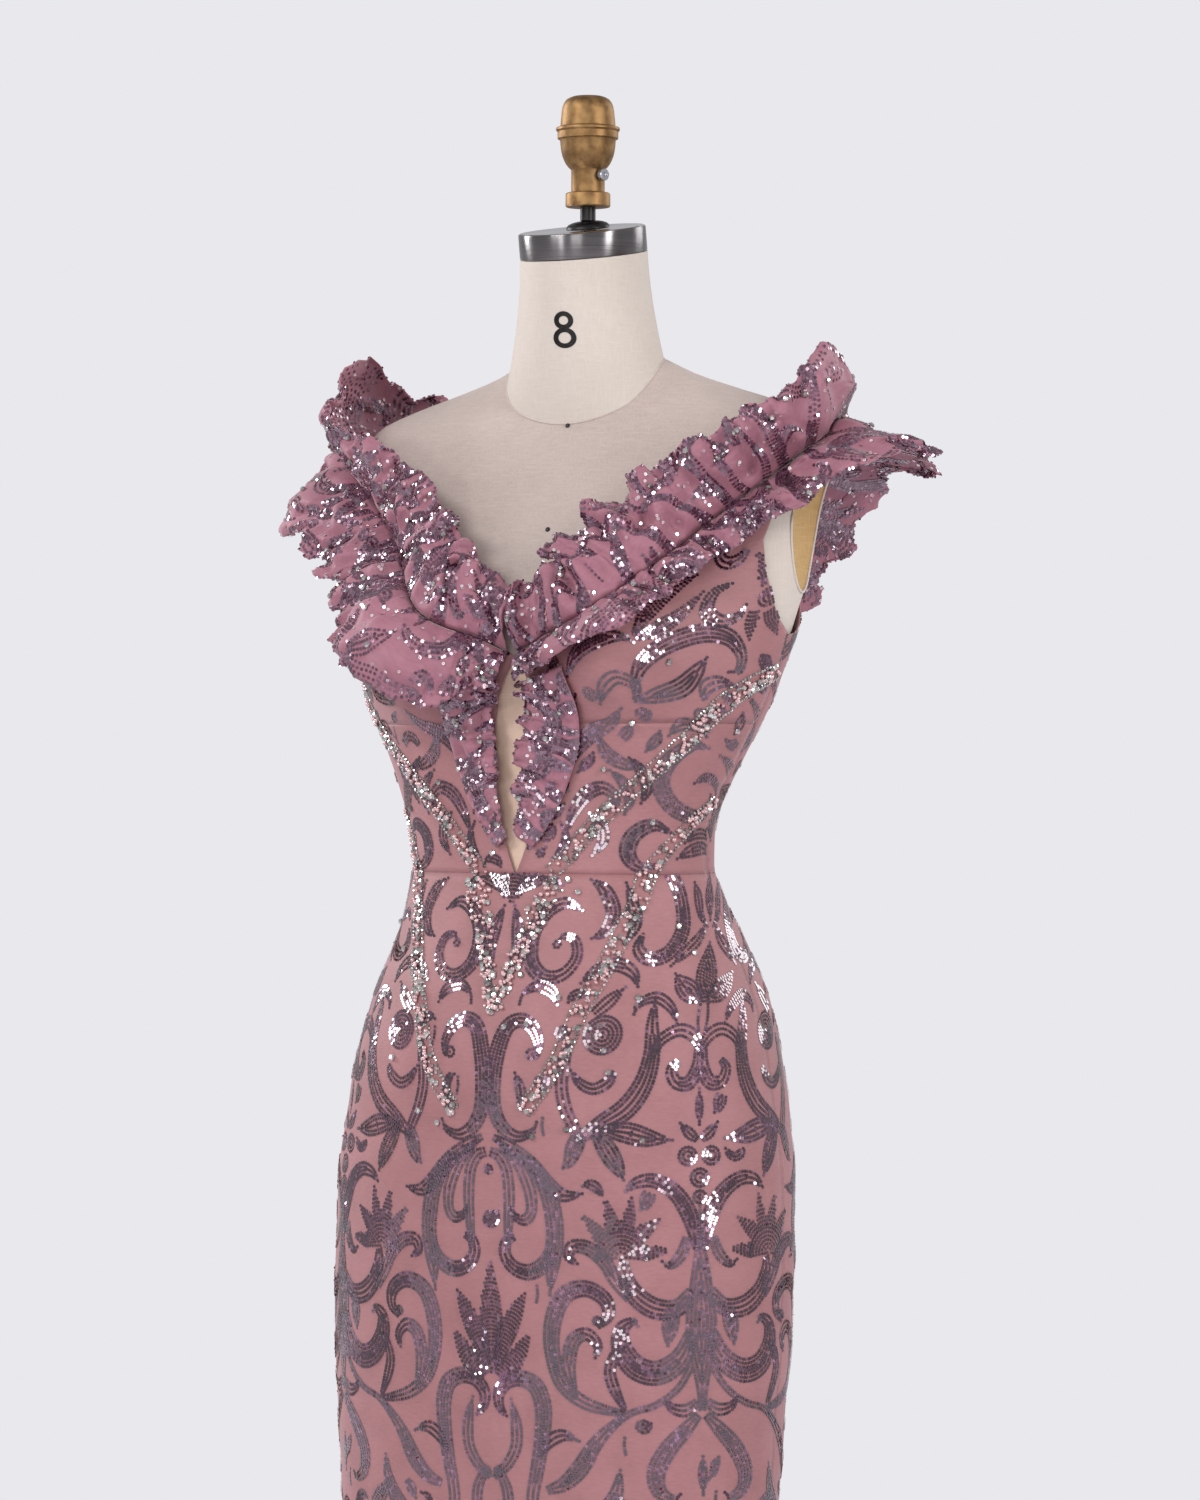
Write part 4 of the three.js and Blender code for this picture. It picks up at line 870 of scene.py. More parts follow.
@dataclass(frozen=True)
class Gem:
    """Foiled glass or a pearl lustre: a bright metallic base under a hard clear face."""

    name: str
    deep: str
    pale: str
    roughness: float = 0.08
    metallic: float = 0.85

    def build(self) -> Material:
        """Makes the material, with a small change of tone from stone to stone."""
        material, tree, shader = new_finish(self.name)
        tint = add_node(tree, "ShaderNodeAttribute", {"attribute_name": "tint"}).outputs["Fac"]
        wire(tree, shader, {"Base Color": ramp_colours(tree, tint, ((0.0, self.deep), (1.0, self.pale))),
                            "Metallic": self.metallic, "Roughness": self.roughness, "Coat Weight": 1.0})
        return material


class Finishes:
    """The finishes of the gown and its form, each built once."""

    def __init__(self) -> None:
        """Builds every material from its finish."""
        self.net = NetCloth("dusty_rose_net", "#926264", "#a27073").build()
        self.ruffle = NetCloth("dusty_pink_chiffon", "#8d5968", "#a46d7c", sheen=0.3).build()
        self.tape = NetCloth("woven_nylon_tape", "#8a6068", "#a37882", rib_mm=1.2, sheen=0.1).build()
        self.chest = Linen("natural_linen", "#ab9b94", "#bfb0a9").build()
        self.recess = Linen("golden_beige_linen", "#b4925f", "#cdae7d").build()
        self.neck = Linen("pale_natural_linen", "#c4b9ae", "#d0c6bd").build()
        # Painted light: the torso's linen behind the keyhole, lighter and warmer than the chest linen, stands
        # in for the light falling there.
        self.lit_keyhole_linen = Linen("peach_beige_linen", "#d6b7a2", "#e3c8b5").build()
        self.piping = Linen("linen_piping", "#b5a79f", "#c6b9b1").build()
        self.sequin = Sequin("plum_sequin", "#2c1325", "#562e49", "#946688").build()
        self.ruffle_sequin = Sequin("rose_sequin", "#3f2036", "#6c4159", "#a0738e").build()
        self.loose_sequin = Sequin("silver_pink_sequin", "#b58a98", "#e0c3cb", "#ffffff", 0.14).build()
        self.rhinestone = Gem("silver_foiled_glass", "#8d8b87", "#e2e1dd").build()
        self.pearl = Gem("pink_pearl_lustre", "#b98d90", "#e0bcbc", 0.22, 0.25).build()
        self.enamel = Metal("dusty_pink_enamel", "#a8787f", "#ba8a91", 0.35, bump_mm=0.02,
                            metallic=0.0).build()
        self.steel = Metal("brushed_steel", "#6e6a6c", "#828080", 0.3, (14, 14, 2400), 0.0,
                           brushed=0.95).build()
        self.mirror = Metal("polished_steel_disc", "#e2e2e4", "#f2f2f4", 0.16, (20, 20, 900), 0.0).build()
        self.black = Metal("black_satin_steel", "#151314", "#262324", 0.38, metallic=0.6).build()
        self.brass = Metal("cast_antique_brass", "#7a5c3c", "#9a7a52", 0.5, (160, 160, 160), 0.2).build()
        self.zinc = Metal("zinc_plated_steel", "#a8aab0", "#c6c8cd", 0.3).build()
        self.pole = Metal("polished_steel_tube", "#b4b4b6", "#c9c9cb", 0.12, (20, 20, 900), 0.02).build()
        self.base = Metal("white_enamel", "#cfcdca", "#dbd9d6", 0.4, (500, 500, 500), 0.05, 0.0).build()


# Scattered pieces made with Geometry Nodes


class Shape(Enum):
    """Small forms that are set over the cloth: name, sides, then the radius and height of each ring."""

    SEQUIN = ("sequin", 6, ((1.0, 0.0),))
    STONE = ("stone", 8, ((0.92, 0.0), (1.0, 0.42), (0.55, 0.95)))
    PEARL = ("pearl", 8, ((0.6, 0.1), (0.98, 0.7), (0.86, 1.35), (0.4, 1.82)))
    TOOTH = ("tooth", 4, ((1.0, 0.0), (0.8, 0.7)))


def form_mesh(shape: Shape) -> bpy.types.Mesh:
    """Makes one small form of about unit radius, its foot on the plane; a sequin is one face with a UV."""
    name, sides, rings = shape.value
    turns = round_turns(sides) + np.pi / sides
    points = np.concatenate([np.stack([r * np.cos(turns), r * np.sin(turns), 0 * turns + h], -1)
                             for r, h in rings])
    index = np.arange(len(points)).reshape(-1, sides)
    turned = np.roll(index, -1, axis=1)
    walls = np.stack([index[:-1], turned[:-1], turned[1:], index[1:]], -1).reshape(-1, 4).tolist()
    foot = [] if shape is Shape.SEQUIN else [index[0, ::-1].tolist()]
    mesh = bpy.data.meshes.new(name)
    mesh.from_pydata(points.tolist(), [], [*foot, *walls, index[-1].tolist()])
    mesh.polygons.foreach_set("use_smooth", [shape is Shape.PEARL] * len(mesh.polygons))
    if shape is Shape.SEQUIN:
        layer = mesh.uv_layers.new(name="UVMap")
        layer.data.foreach_set("uv", (points[:, :2] * 0.5 + 0.5).astype(np.float32).ravel())
    return mesh


@dataclass
class Scatter:
    """A Geometry Nodes tree that sets one small form at each point, turned to the cloth, a little loose."""

    shape: Shape
    tilt: float
    _tree: bpy.types.NodeTree = field(init=False, repr=False)
    _form: Piece = field(init=False, repr=False)

    def __post_init__(self) -> None:
        """Builds the tree with its named inputs."""
        word = self.shape.value[0]
        self._form = linked(f"{word}_form", form_mesh(self.shape))
        tree = bpy.data.node_groups.new(f"set_{word}", "GeometryNodeTree")
        for name, way, kind in (
            ("Geometry", "INPUT", "Geometry"), ("Form", "INPUT", "Object"), ("Tilt", "INPUT", "Float"),
            ("Seed", "INPUT", "Int"), ("Finish", "INPUT", "Material"), ("Geometry", "OUTPUT", "Geometry"),
        ):
            tree.interface.new_socket(name, in_out=way, socket_type=f"NodeSocket{kind}")
        given = add_node(tree, "NodeGroupInput").outputs
        named = {}
        for name, kind in (("facing", "FLOAT_VECTOR"), ("run", "FLOAT_VECTOR"), ("size", "FLOAT")):
            node = add_node(tree, "GeometryNodeInputNamedAttribute", {"data_type": kind}, {"Name": name})
            named[name] = node.outputs[0]
        turn = add_node(tree, "FunctionNodeAxesToRotation", {"primary_axis": "Z", "secondary_axis": "X"},
                        {0: named["facing"], 1: named["run"]})
        form = add_node(tree, "GeometryNodeObjectInfo", {"transform_space": "ORIGINAL"},
                        {"Object": given["Form"]})
        placed = add_node(tree, "GeometryNodeInstanceOnPoints",
                          inputs={"Points": given["Geometry"], "Instance": form.outputs["Geometry"],
                                  "Rotation": turn.outputs[0], "Scale": named["size"]})
        least = add_node(tree, "ShaderNodeMath", {"operation": "MULTIPLY"}, {0: given["Tilt"], 1: -1.0})
        loose = add_node(tree, "FunctionNodeRandomValue", {"data_type": "FLOAT_VECTOR"},
                         {0: least.outputs[0], 1: given["Tilt"], "Seed": given["Seed"]})
        rocked = add_node(tree, "GeometryNodeRotateInstances",
                          inputs={"Instances": placed.outputs[0], "Rotation": loose.outputs[0]})
        real = add_node(tree, "GeometryNodeRealizeInstances", inputs={0: rocked.outputs[0]})
        dressed = add_node(tree, "GeometryNodeSetMaterial",
                           inputs={"Geometry": real.outputs[0], "Material": given["Finish"]})
        add_node(tree, "NodeGroupOutput", inputs={0: dressed.outputs[0]})
        self._tree = tree

    def make(self, name: str, points: Array, facing: Array, run: Array, size: Array, tint: Array,
             finish: Material, seed: int) -> Piece:
        """Sets the form at each point and turns the result into a plain mesh.

        Args:
            name: The piece's name.
            points: Places in millimetres.
            facing: Outward directions.
            run: Directions of the row.
            size: Radius of each, in millimetres.
            tint: Tone of each, from 0 to 1.
            finish: Its material.
            seed: Choice of the small tilts.

        Returns:
            The linked object.
        """
        mesh = bpy.data.meshes.new(name + "_points")
        mesh.from_pydata((points * MM).tolist(), [], [])
        for key, kind, values in (("facing", "FLOAT_VECTOR", facing), ("run", "FLOAT_VECTOR", run),
                                  ("size", "FLOAT", size * MM), ("tint", "FLOAT", tint)):
            layer = mesh.attributes.new(key, kind, "POINT")
            layer.data.foreach_set("vector" if kind == "FLOAT_VECTOR" else "value",
                                   np.asarray(values, np.float32).ravel())
        holder = linked(name + "_holder", mesh)
        modifier = holder.modifiers.new("set", "NODES")
        modifier.node_group = self._tree
        given = {"Form": self._form, "Tilt": self.tilt, "Seed": seed, "Finish": finish}
        for item in self._tree.interface.items_tree:
            if item.name in given:
                modifier[item.identifier] = given[item.name]
        graph = bpy.context.evaluated_depsgraph_get()
        result = bpy.data.meshes.new_from_object(holder.evaluated_get(graph), preserve_all_data_layers=True,
                                                 depsgraph=graph)
        result.name = name
        piece = linked(name, result)
        bpy.data.objects.remove(holder)
        return piece

    def clear(self) -> None:
        """Removes the single form once every piece is made."""
        bpy.data.objects.remove(self._form)


# Embroidery


def curve_through(rows: Rows, step: float = 0.4) -> Array:
    """Draws the rounded curve through rows of values and samples it finely.

    Args:
        rows: Arc, level and any further values.
        step: Distance between samples.

    Returns:
        Samples in order, one row each.
    """
    table = np.asarray(rows, float)
    padded = extended(table)
    samples = []
    for i in range(len(table) - 1):
        p0, p1, p2, p3 = padded[i:i + 4]
        count = max(2, int(np.hypot(*(p2 - p1)[:2]) / step))
        t = np.linspace(0, 1, count, endpoint=False)[:, None]
        samples.append(0.5 * (2 * p1 + (p2 - p0) * t + (2 * p0 - 5 * p1 + 4 * p2 - p3) * t**2
                              + (3 * p1 - p0 - 3 * p2 + p3) * t**3))
    return np.vstack([*samples, table[-1:]])


@dataclass
class Embroidery:
    """The all-over pattern of sequin rows, worked out once in arc and level.

    Rows run in from both edges of a stroke until they meet; palmette leaves have rows across them.
    """

    pitch: float = 2.35
    row_gap: float = 2.95
    fuller: float = 1.2
    small: float = 0.5
    places: Array = field(init=False, repr=False)
    bodice: Array = field(init=False, repr=False)

    def __post_init__(self) -> None:
        """Fills the strokes of one tile and of the bodice front, with arc, level and the row's direction."""
        mirror = [-1, 1, -1, 1]
        sides = self.filled(LONG_STROKES, CROSS_STROKES, ROUNDS)
        middle = self.filled(AXIS_STROKES, AXIS_CROSS_STROKES, AXIS_ROUNDS)
        self.places = self.packed(np.vstack([sides, sides * mirror, middle]), (-158, 158, 566, 1076), 1800, 3)
        front = self.filled(BODICE_STROKES, BODICE_CROSS_STROKES, BODICE_ROUNDS)
        self.bodice = self.packed(np.vstack([front, front * mirror]), (-250, 250, 1084, 1330), 5000, 4)

    def packed(self, own: Array, window: tuple[float, float, float, float], tries: int, seed: int) -> Array:
        """Sets small scrolls at random in the room that the main strokes leave.

        Args:
            own: Places of the main strokes.
            window: First and last arc, first and last level.
            tries: Number of random places tried.
            seed: Choice of the places.

        Returns:
            The places of the main strokes and of the small scrolls between them.
        """
        cell, margin = 1.5, 2
        left, right, bottom, top = window
        low, high = np.array([left, bottom]), np.array([right, top])
        taken = np.zeros(((high - low) / cell).astype(int) + 2 * margin + 2, bool)

        def cells(places: Array) -> tuple[Array, Array]:
            """Gives the cells in which places lie."""
            inside = np.all((places[:, :2] > low) & (places[:, :2] < high), axis=1)
            return tuple((((places[inside, :2] - low) / cell).astype(int) + margin).T)

        def mark(places: Array) -> None:
            """Marks the cells round places as taken."""
            i, j = cells(places)
            for di in range(-margin, margin + 1):
                for dj in range(-margin, margin + 1):
                    taken[i + di, j + dj] = True

        mark(own)
        draw = np.random.default_rng(seed)
        tables = [np.array(rows, float) for rows in LONG_STROKES]
        found = [own]
        for _ in range(tries):
            table = tables[draw.integers(len(tables))]
            shape = (table - [*table[:, :2].mean(0), 0]) * [self.small, self.small, 0.85]
            shape[:, 0] *= draw.choice([-1, 1])
            places = self.along(shape) + [draw.uniform(left, right), draw.uniform(bottom, top), 0, 0]
            i, j = cells(places)
            if len(i) == len(places) and len(places) and not taken[i, j].any():
                found.append(places)
                mark(places)
        return np.vstack(found)

    def filled(self, strokes: Sequence[Rows], leaves: Sequence[Rows], rounds: Rows) -> Array:
        """Fills strokes along, leaves across and rounds with rings."""
        return np.vstack([*map(self.along, strokes), *map(self.across, leaves), *map(self.round, rounds)])

    def run_lines(self, curve: Array) -> tuple[Array, Array, Array]:
        """Gives arc-even samples of a curve, their tangents and their half widths."""
        lengths = run_lengths(curve[:, :2])
        stations = np.arange(0.3 * self.pitch, lengths[-1], self.pitch / 4)
        even = np.stack([np.interp(stations, lengths, curve[:, k]) for k in range(3)], -1)
        tangent = unit(np.gradient(even[:, :2], axis=0))
        return even[:, :2], tangent, even[:, 2] * self.fuller

    def along(self, rows: Rows) -> Array:
        """Fills a stroke with rows along it."""
        centre, tangent, half = self.run_lines(curve_through(rows))
        normal = np.stack([-tangent[:, 1], tangent[:, 0]], -1)
        lines = []
        for row in range(6):
            edge = half - (row + 0.5) * self.row_gap
            for side in (1, -1):
                paired = edge > 0.4 * self.row_gap
                middle = (np.abs(edge) <= 0.42 * self.row_gap) & (side > 0)
                offset = np.where(paired, side * edge, 0)
                line = centre + normal * offset[:, None]
                keep = self.spaced(line, paired | middle)
                lines.append(np.hstack([line[keep], tangent[keep]]))
        return np.vstack(lines)

    def spaced(self, line: Array, wanted: Array) -> Array:
        """Picks samples of a line about one pitch apart, where they are wanted."""
        steps = np.hypot(*np.diff(line, axis=0).T)
        run = np.concatenate([[0], np.cumsum(np.minimum(steps, self.pitch))])
        slot = np.floor(run / self.pitch)
        first = np.concatenate([[True], slot[1:] > slot[:-1]])
        return first & wanted

    def across(self, rows: Rows) -> Array:
        """Fills a leaf with rows across it."""
        centre, tangent, half = self.run_lines(curve_through(rows))
        normal = np.stack([-tangent[:, 1], tangent[:, 0]], -1)
        step = max(1, round(self.row_gap / (self.pitch / 4)))
        lines = []
        for i in range(0, len(centre), step):
            reach = np.arange(-half[i] + 0.6, half[i], self.pitch)
            sweep = centre[i] + normal[i] * reach[:, None] - tangent[i] * (0.04 * reach[:, None] ** 2)
            lines.append(np.hstack([sweep, np.repeat(normal[i:i + 1], len(reach), 0)]))
        return np.vstack(lines)

    def round(self, row: Sequence[float]) -> Array:
        """Fills a round with rings."""
        arc, z, radius, first, last = row
        lines = [np.zeros((0, 4))]
        while radius > 0.4 * self.row_gap:
            middle = radius - 0.5 * self.row_gap
            count = max(1, int(abs(last - first) / 360 * 2 * math.pi * max(middle, 0.1) / self.pitch))
            turns = np.radians(np.linspace(first, last, count, endpoint=last - first < 360))
            across, up = np.cos(turns), np.sin(turns)
            lines.append(np.stack([arc + middle * across, z + middle * up, -up, across], -1))
            radius -= self.row_gap
        return np.vstack(lines)

    def over(self, low_arc: float, high_arc: float, low_z: float, high_z: float) -> Array:
        """Repeats the tile over a window of arc and level."""
        tiles = []
        for i in range(math.floor(low_arc / PERIOD_ARC) - 1, math.ceil(high_arc / PERIOD_ARC) + 2):
            for j in range(math.floor(low_z / PERIOD_Z) - 3, math.ceil(high_z / PERIOD_Z) + 2):
                tile = self.places + [i * PERIOD_ARC, j * PERIOD_Z, 0, 0]
                inside = (tile[:, 0] >= low_arc) & (tile[:, 0] < high_arc)
                inside &= (tile[:, 1] >= low_z) & (tile[:, 1] < high_z)
                tiles.append(tile[inside])
        return np.vstack(tiles)


def inside_outline(x: Array, y: Array, outline: Array) -> Array:
    """Tells which points lie in a closed outline, by counting crossings."""
    result = np.zeros(x.shape, bool)
    x0, y0 = outline[-1]
    for x1, y1 in outline:
        crosses = (y0 > y) != (y1 > y)
        if y1 != y0:
            result ^= crosses & (x < (x1 - x0) * (y - y0) / (y1 - y0) + x0)
        x0, y0 = x1, y1
    return result


@dataclass
class Panel:
    """A cut piece of the gown between two edges, each station a place on one edge and one on the other."""

    name: str
    node: str
    side: int
    stations: Array
    flat: tuple[float, float]
    area: float
    step: float = 7.0

    def grid(self) -> tuple[Array, Array]:
        """Gives angle and level over a fine grid of the panel."""
        rows = [self.stations[:1]]
        for lower, upper in zip(self.stations[:-1], self.stations[1:]):
            ends = BODY.point(upper[[0, 2]], upper[[1, 3]]) - BODY.point(lower[[0, 2]], lower[[1, 3]])
            span = max(*np.abs(upper - lower)[[1, 3]], *np.linalg.norm(ends, axis=-1))
            count = max(1, math.ceil(span / self.step))
            rows.append(lower + (upper - lower) * (np.arange(1, count + 1) / count)[:, None])
        first_angle, first_z, last_angle, last_z = np.vstack(rows).T[..., None]
        arcs = BODY.arc_at(last_angle, last_z) - BODY.arc_at(first_angle, first_z)
        chords = np.linalg.norm(BODY.point(last_angle, last_z) - BODY.point(first_angle, first_z), axis=-1)
        columns = math.ceil(max(np.abs(arcs).max(), chords.max()) / self.step)
        t = np.linspace(0, 1, columns + 1)
        return (first_angle * (1 - t) + last_angle * t) * self.side, first_z * (1 - t) + last_z * t

    def outline(self) -> Array:
        """Gives the closed outline in angle and level."""
        return np.vstack([self.stations[:, :2], self.stations[::-1, 2:]]) * [self.side, 1]


def crease(angle: Array, z: Array) -> Array:
    """Gives how far the cloth stands off its smooth form: slight slack all over and flutes in the flare."""
    flare_top, flare_height, flute_depth, hem_depth = 420, 400, 6.5, 2.0
    flare = np.clip((flare_top - z) / flare_height, 0, 1) ** 1.5
    turn = np.radians(angle)
    flutes = np.sin(9 * turn + 0.7 * np.sin(2 * turn)) + 0.45 * np.sin(14 * turn + 1.1)
    arc = BODY.arc_at(angle, z)
    slack = soft_noise(arc / 190, z / 70, 5) * 0.45 + soft_noise(arc / 70, z / 45, 6) * 0.18
    above_hem = np.clip((z - 14) / 40, 0, 1)
    depth = flute_depth * above_hem + hem_depth * (1 - above_hem)
    return depth * flare * flutes + slack * above_hem


def edge_stations(rows: Rows, towards: int) -> Array:
    """Sets a table's edges in from their seams, the last station as a whole."""
    table = np.asarray(rows, float).copy()
    for row in table:
        row[0] += SEAM_INSET / np.linalg.norm(BODY.frame(max(row[0], 1.0), row[1])[0])
        gap = ZIP_HALF_GAP if row[2] == 180 and row[3] > ZIP_END_Z else SEAM_INSET
        row[2] -= gap / np.linalg.norm(BODY.frame(min(row[2], 179.0), row[3])[0])
    table[0, [1, 3]] += SEAM_INSET
    shoulder = 90 + towards * SEAM_INSET / np.linalg.norm(BODY.frame(90.0, rows[-1][1])[0])
    table[-1] = [shoulder, rows[-1][1], shoulder, rows[-1][3]]
    return table


@dataclass
class Gown:
    """The gown's cut panels with their sequin rows and beads."""

    finishes: Finishes
    embroidery: Embroidery
    sequins: Scatter
    sequin_radius: float = 1.38
    sequin_lift: float = 0.55
    proud_share: float = 0.05

    def skirt_stations(self, first: float, last: float) -> Array:
        """Gives stations of a skirt panel between two angles, set in from its seams."""
        levels = np.concatenate([[HEM_Z], np.arange(40, 1070, 30), [898, 901], [WAIST_Z - SEAM_INSET]])
        levels = np.unique(levels)
        rows = []
        for z in levels:
            per_degree = np.linalg.norm(BODY.frame(90.0, z)[0])
            at_back = np.linalg.norm(BODY.frame(179.0, z)[0])
            gap = ZIP_HALF_GAP if z > ZIP_END_Z else SEAM_INSET
            start = first + SEAM_INSET / per_degree if first != 0 else 0.0
            end = last - (gap / at_back if last == 180 else SEAM_INSET / per_degree)
            rows.append((start, z, end, z))
        return np.array(rows)

    def midriff_stations(self) -> Array:
        """Gives stations of a midriff panel from the keyhole to the side seam."""
        levels = [z for z, _ in KEYHOLE if z <= UNDERBUST_Z]
        fine = np.unique(np.concatenate([levels, np.arange(1085, 1192, 8)]))
        z = fine.copy()
        z[0] += SEAM_INSET
        z[-1] -= SEAM_INSET
        front = KEYHOLE_HALF_ANGLE(fine) + SEAM_INSET / np.linalg.norm(BODY.frame(1.0, 1140.0)[0])
        back = 90 - SEAM_INSET / np.linalg.norm(BODY.frame(90.0, 1140.0)[0])
        return np.stack([front, z, np.full_like(z, back), z], -1)

    def panels(self) -> list[Panel]:
        """Lists the panels; each flat size is the cut of one panel."""
        front, back = self.skirt_stations(0, 90), self.skirt_stations(90, 180)
        whole = np.stack([-front[:, 2], front[:, 1], front[:, 2], front[:, 3]], -1)
        midriff = self.midriff_stations()
        cup, bodice = edge_stations(CUP_EDGES, -1), edge_stations(BACK_EDGES, 1)
        result = [Panel("front_skirt_panel", "skirt_front", 1, whole, (0.87, 1.09), 0.58, 9.0)]
        for side, word in SIDES:
            result += [
                Panel(f"back_skirt_panel_{word}", f"skirt_back_{word}", side, back, (0.43, 1.1), 0.29, 9.0),
                Panel(f"midriff_panel_{word}", f"midriff_{word}", side, midriff, (0.2, 0.12), 0.0185),
                Panel(f"bust_panel_{word}", f"cup_{word}", side, cup, (0.24, 0.27), 0.027),
                Panel(f"back_bodice_panel_{word}", f"back_bodice_{word}", side, bodice, (0.25, 0.36), 0.04),
            ]
        return result

    def build(self) -> None:
        """Makes every panel and its sequins."""
        for number, panel in enumerate(self.panels()):
            angle, z = panel.grid()
            normal = BODY.frame(angle, z)[2]
            outer = BODY.point(angle, z) + normal * (WALL_OUTSIDE + crease(angle, z))[..., None]
            uv = np.stack([BODY.arc_at(angle, z), z], -1)
            piece = shell_object(panel.name, outer, normal, SHELL, uv, self.finishes.net)
            settle(piece, "sequin_cloth", panel.node)
            LOG.info("%s: %.4f square metres", panel.name, grid_area(outer))
            self.dress(panel, number)

    def dress(self, panel: Panel, seed: int) -> None:
        """Sets the sequin rows that fall on a panel, in halves where it spans centre front."""
        outline = panel.outline()
        front = panel.name.startswith(("midriff", "bust"))
        places = self.embroidery.bodice
        if not front:
            places = self.embroidery.over(-900, 900, outline[:, 1].min(), outline[:, 1].max())
        z = places[:, 1]
        angle = BODY.angle_at(places[:, 0], z)
        known = ~np.isnan(angle)
        inside = known & inside_outline(np.where(known, angle, 0), z, outline)
        parts = ((inside, ""),)
        if panel.name == "front_skirt_panel":
            parts = ((inside & (angle >= 0), "_left"), (inside & (angle < 0), "_right"))
        for keep, word in parts:
            along_angle, along_z, normal = BODY.frame(angle[keep], z[keep])
            run = unit(unit(along_angle) * places[keep, 2:3] + unit(along_z) * places[keep, 3:4])
            height = WALL_OUTSIDE + crease(angle[keep], z[keep]) + self.sequin_lift
            points = BODY.point(angle[keep], z[keep]) + normal * height[:, None]
            self.set_sequins(f"{panel.name}_sequins{word}", points, normal, run, seed)

    def set_sequins(self, name: str, points: Array, normal: Array, run: Array, seed: int) -> None:
        """Sets sequins that lean along their row like shingles; a few stand proud, tilted further, and get a
        paler tint as a painted highlight.
        """
        count = len(points)
        draw = np.random.default_rng(100 + seed)
        proud = draw.random(count) < self.proud_share
        lean = np.radians(draw.normal(9, 1.8, count) + proud * draw.normal(0, 18, count))[:, None]
        facing = unit(normal * np.cos(lean) + run * np.sin(lean))
        cloud = soft_noise(points[:, 0] / 90 + points[:, 1] / 130, points[:, 2] / 80, 31)
        # Painted highlight: the proud sequins get a paler tint for the light they catch; the rest of the tint
        # is random tone.
        tint = np.clip(draw.beta(2.0, 3.7, count) + 0.14 * cloud + 0.35 * proud, 0, 1)
        size = np.full(count, self.sequin_radius)
        piece = self.sequins.make(name, points, facing, run, size, tint, self.finishes.sequin, seed)
        settle(piece, "sequin_cloth")


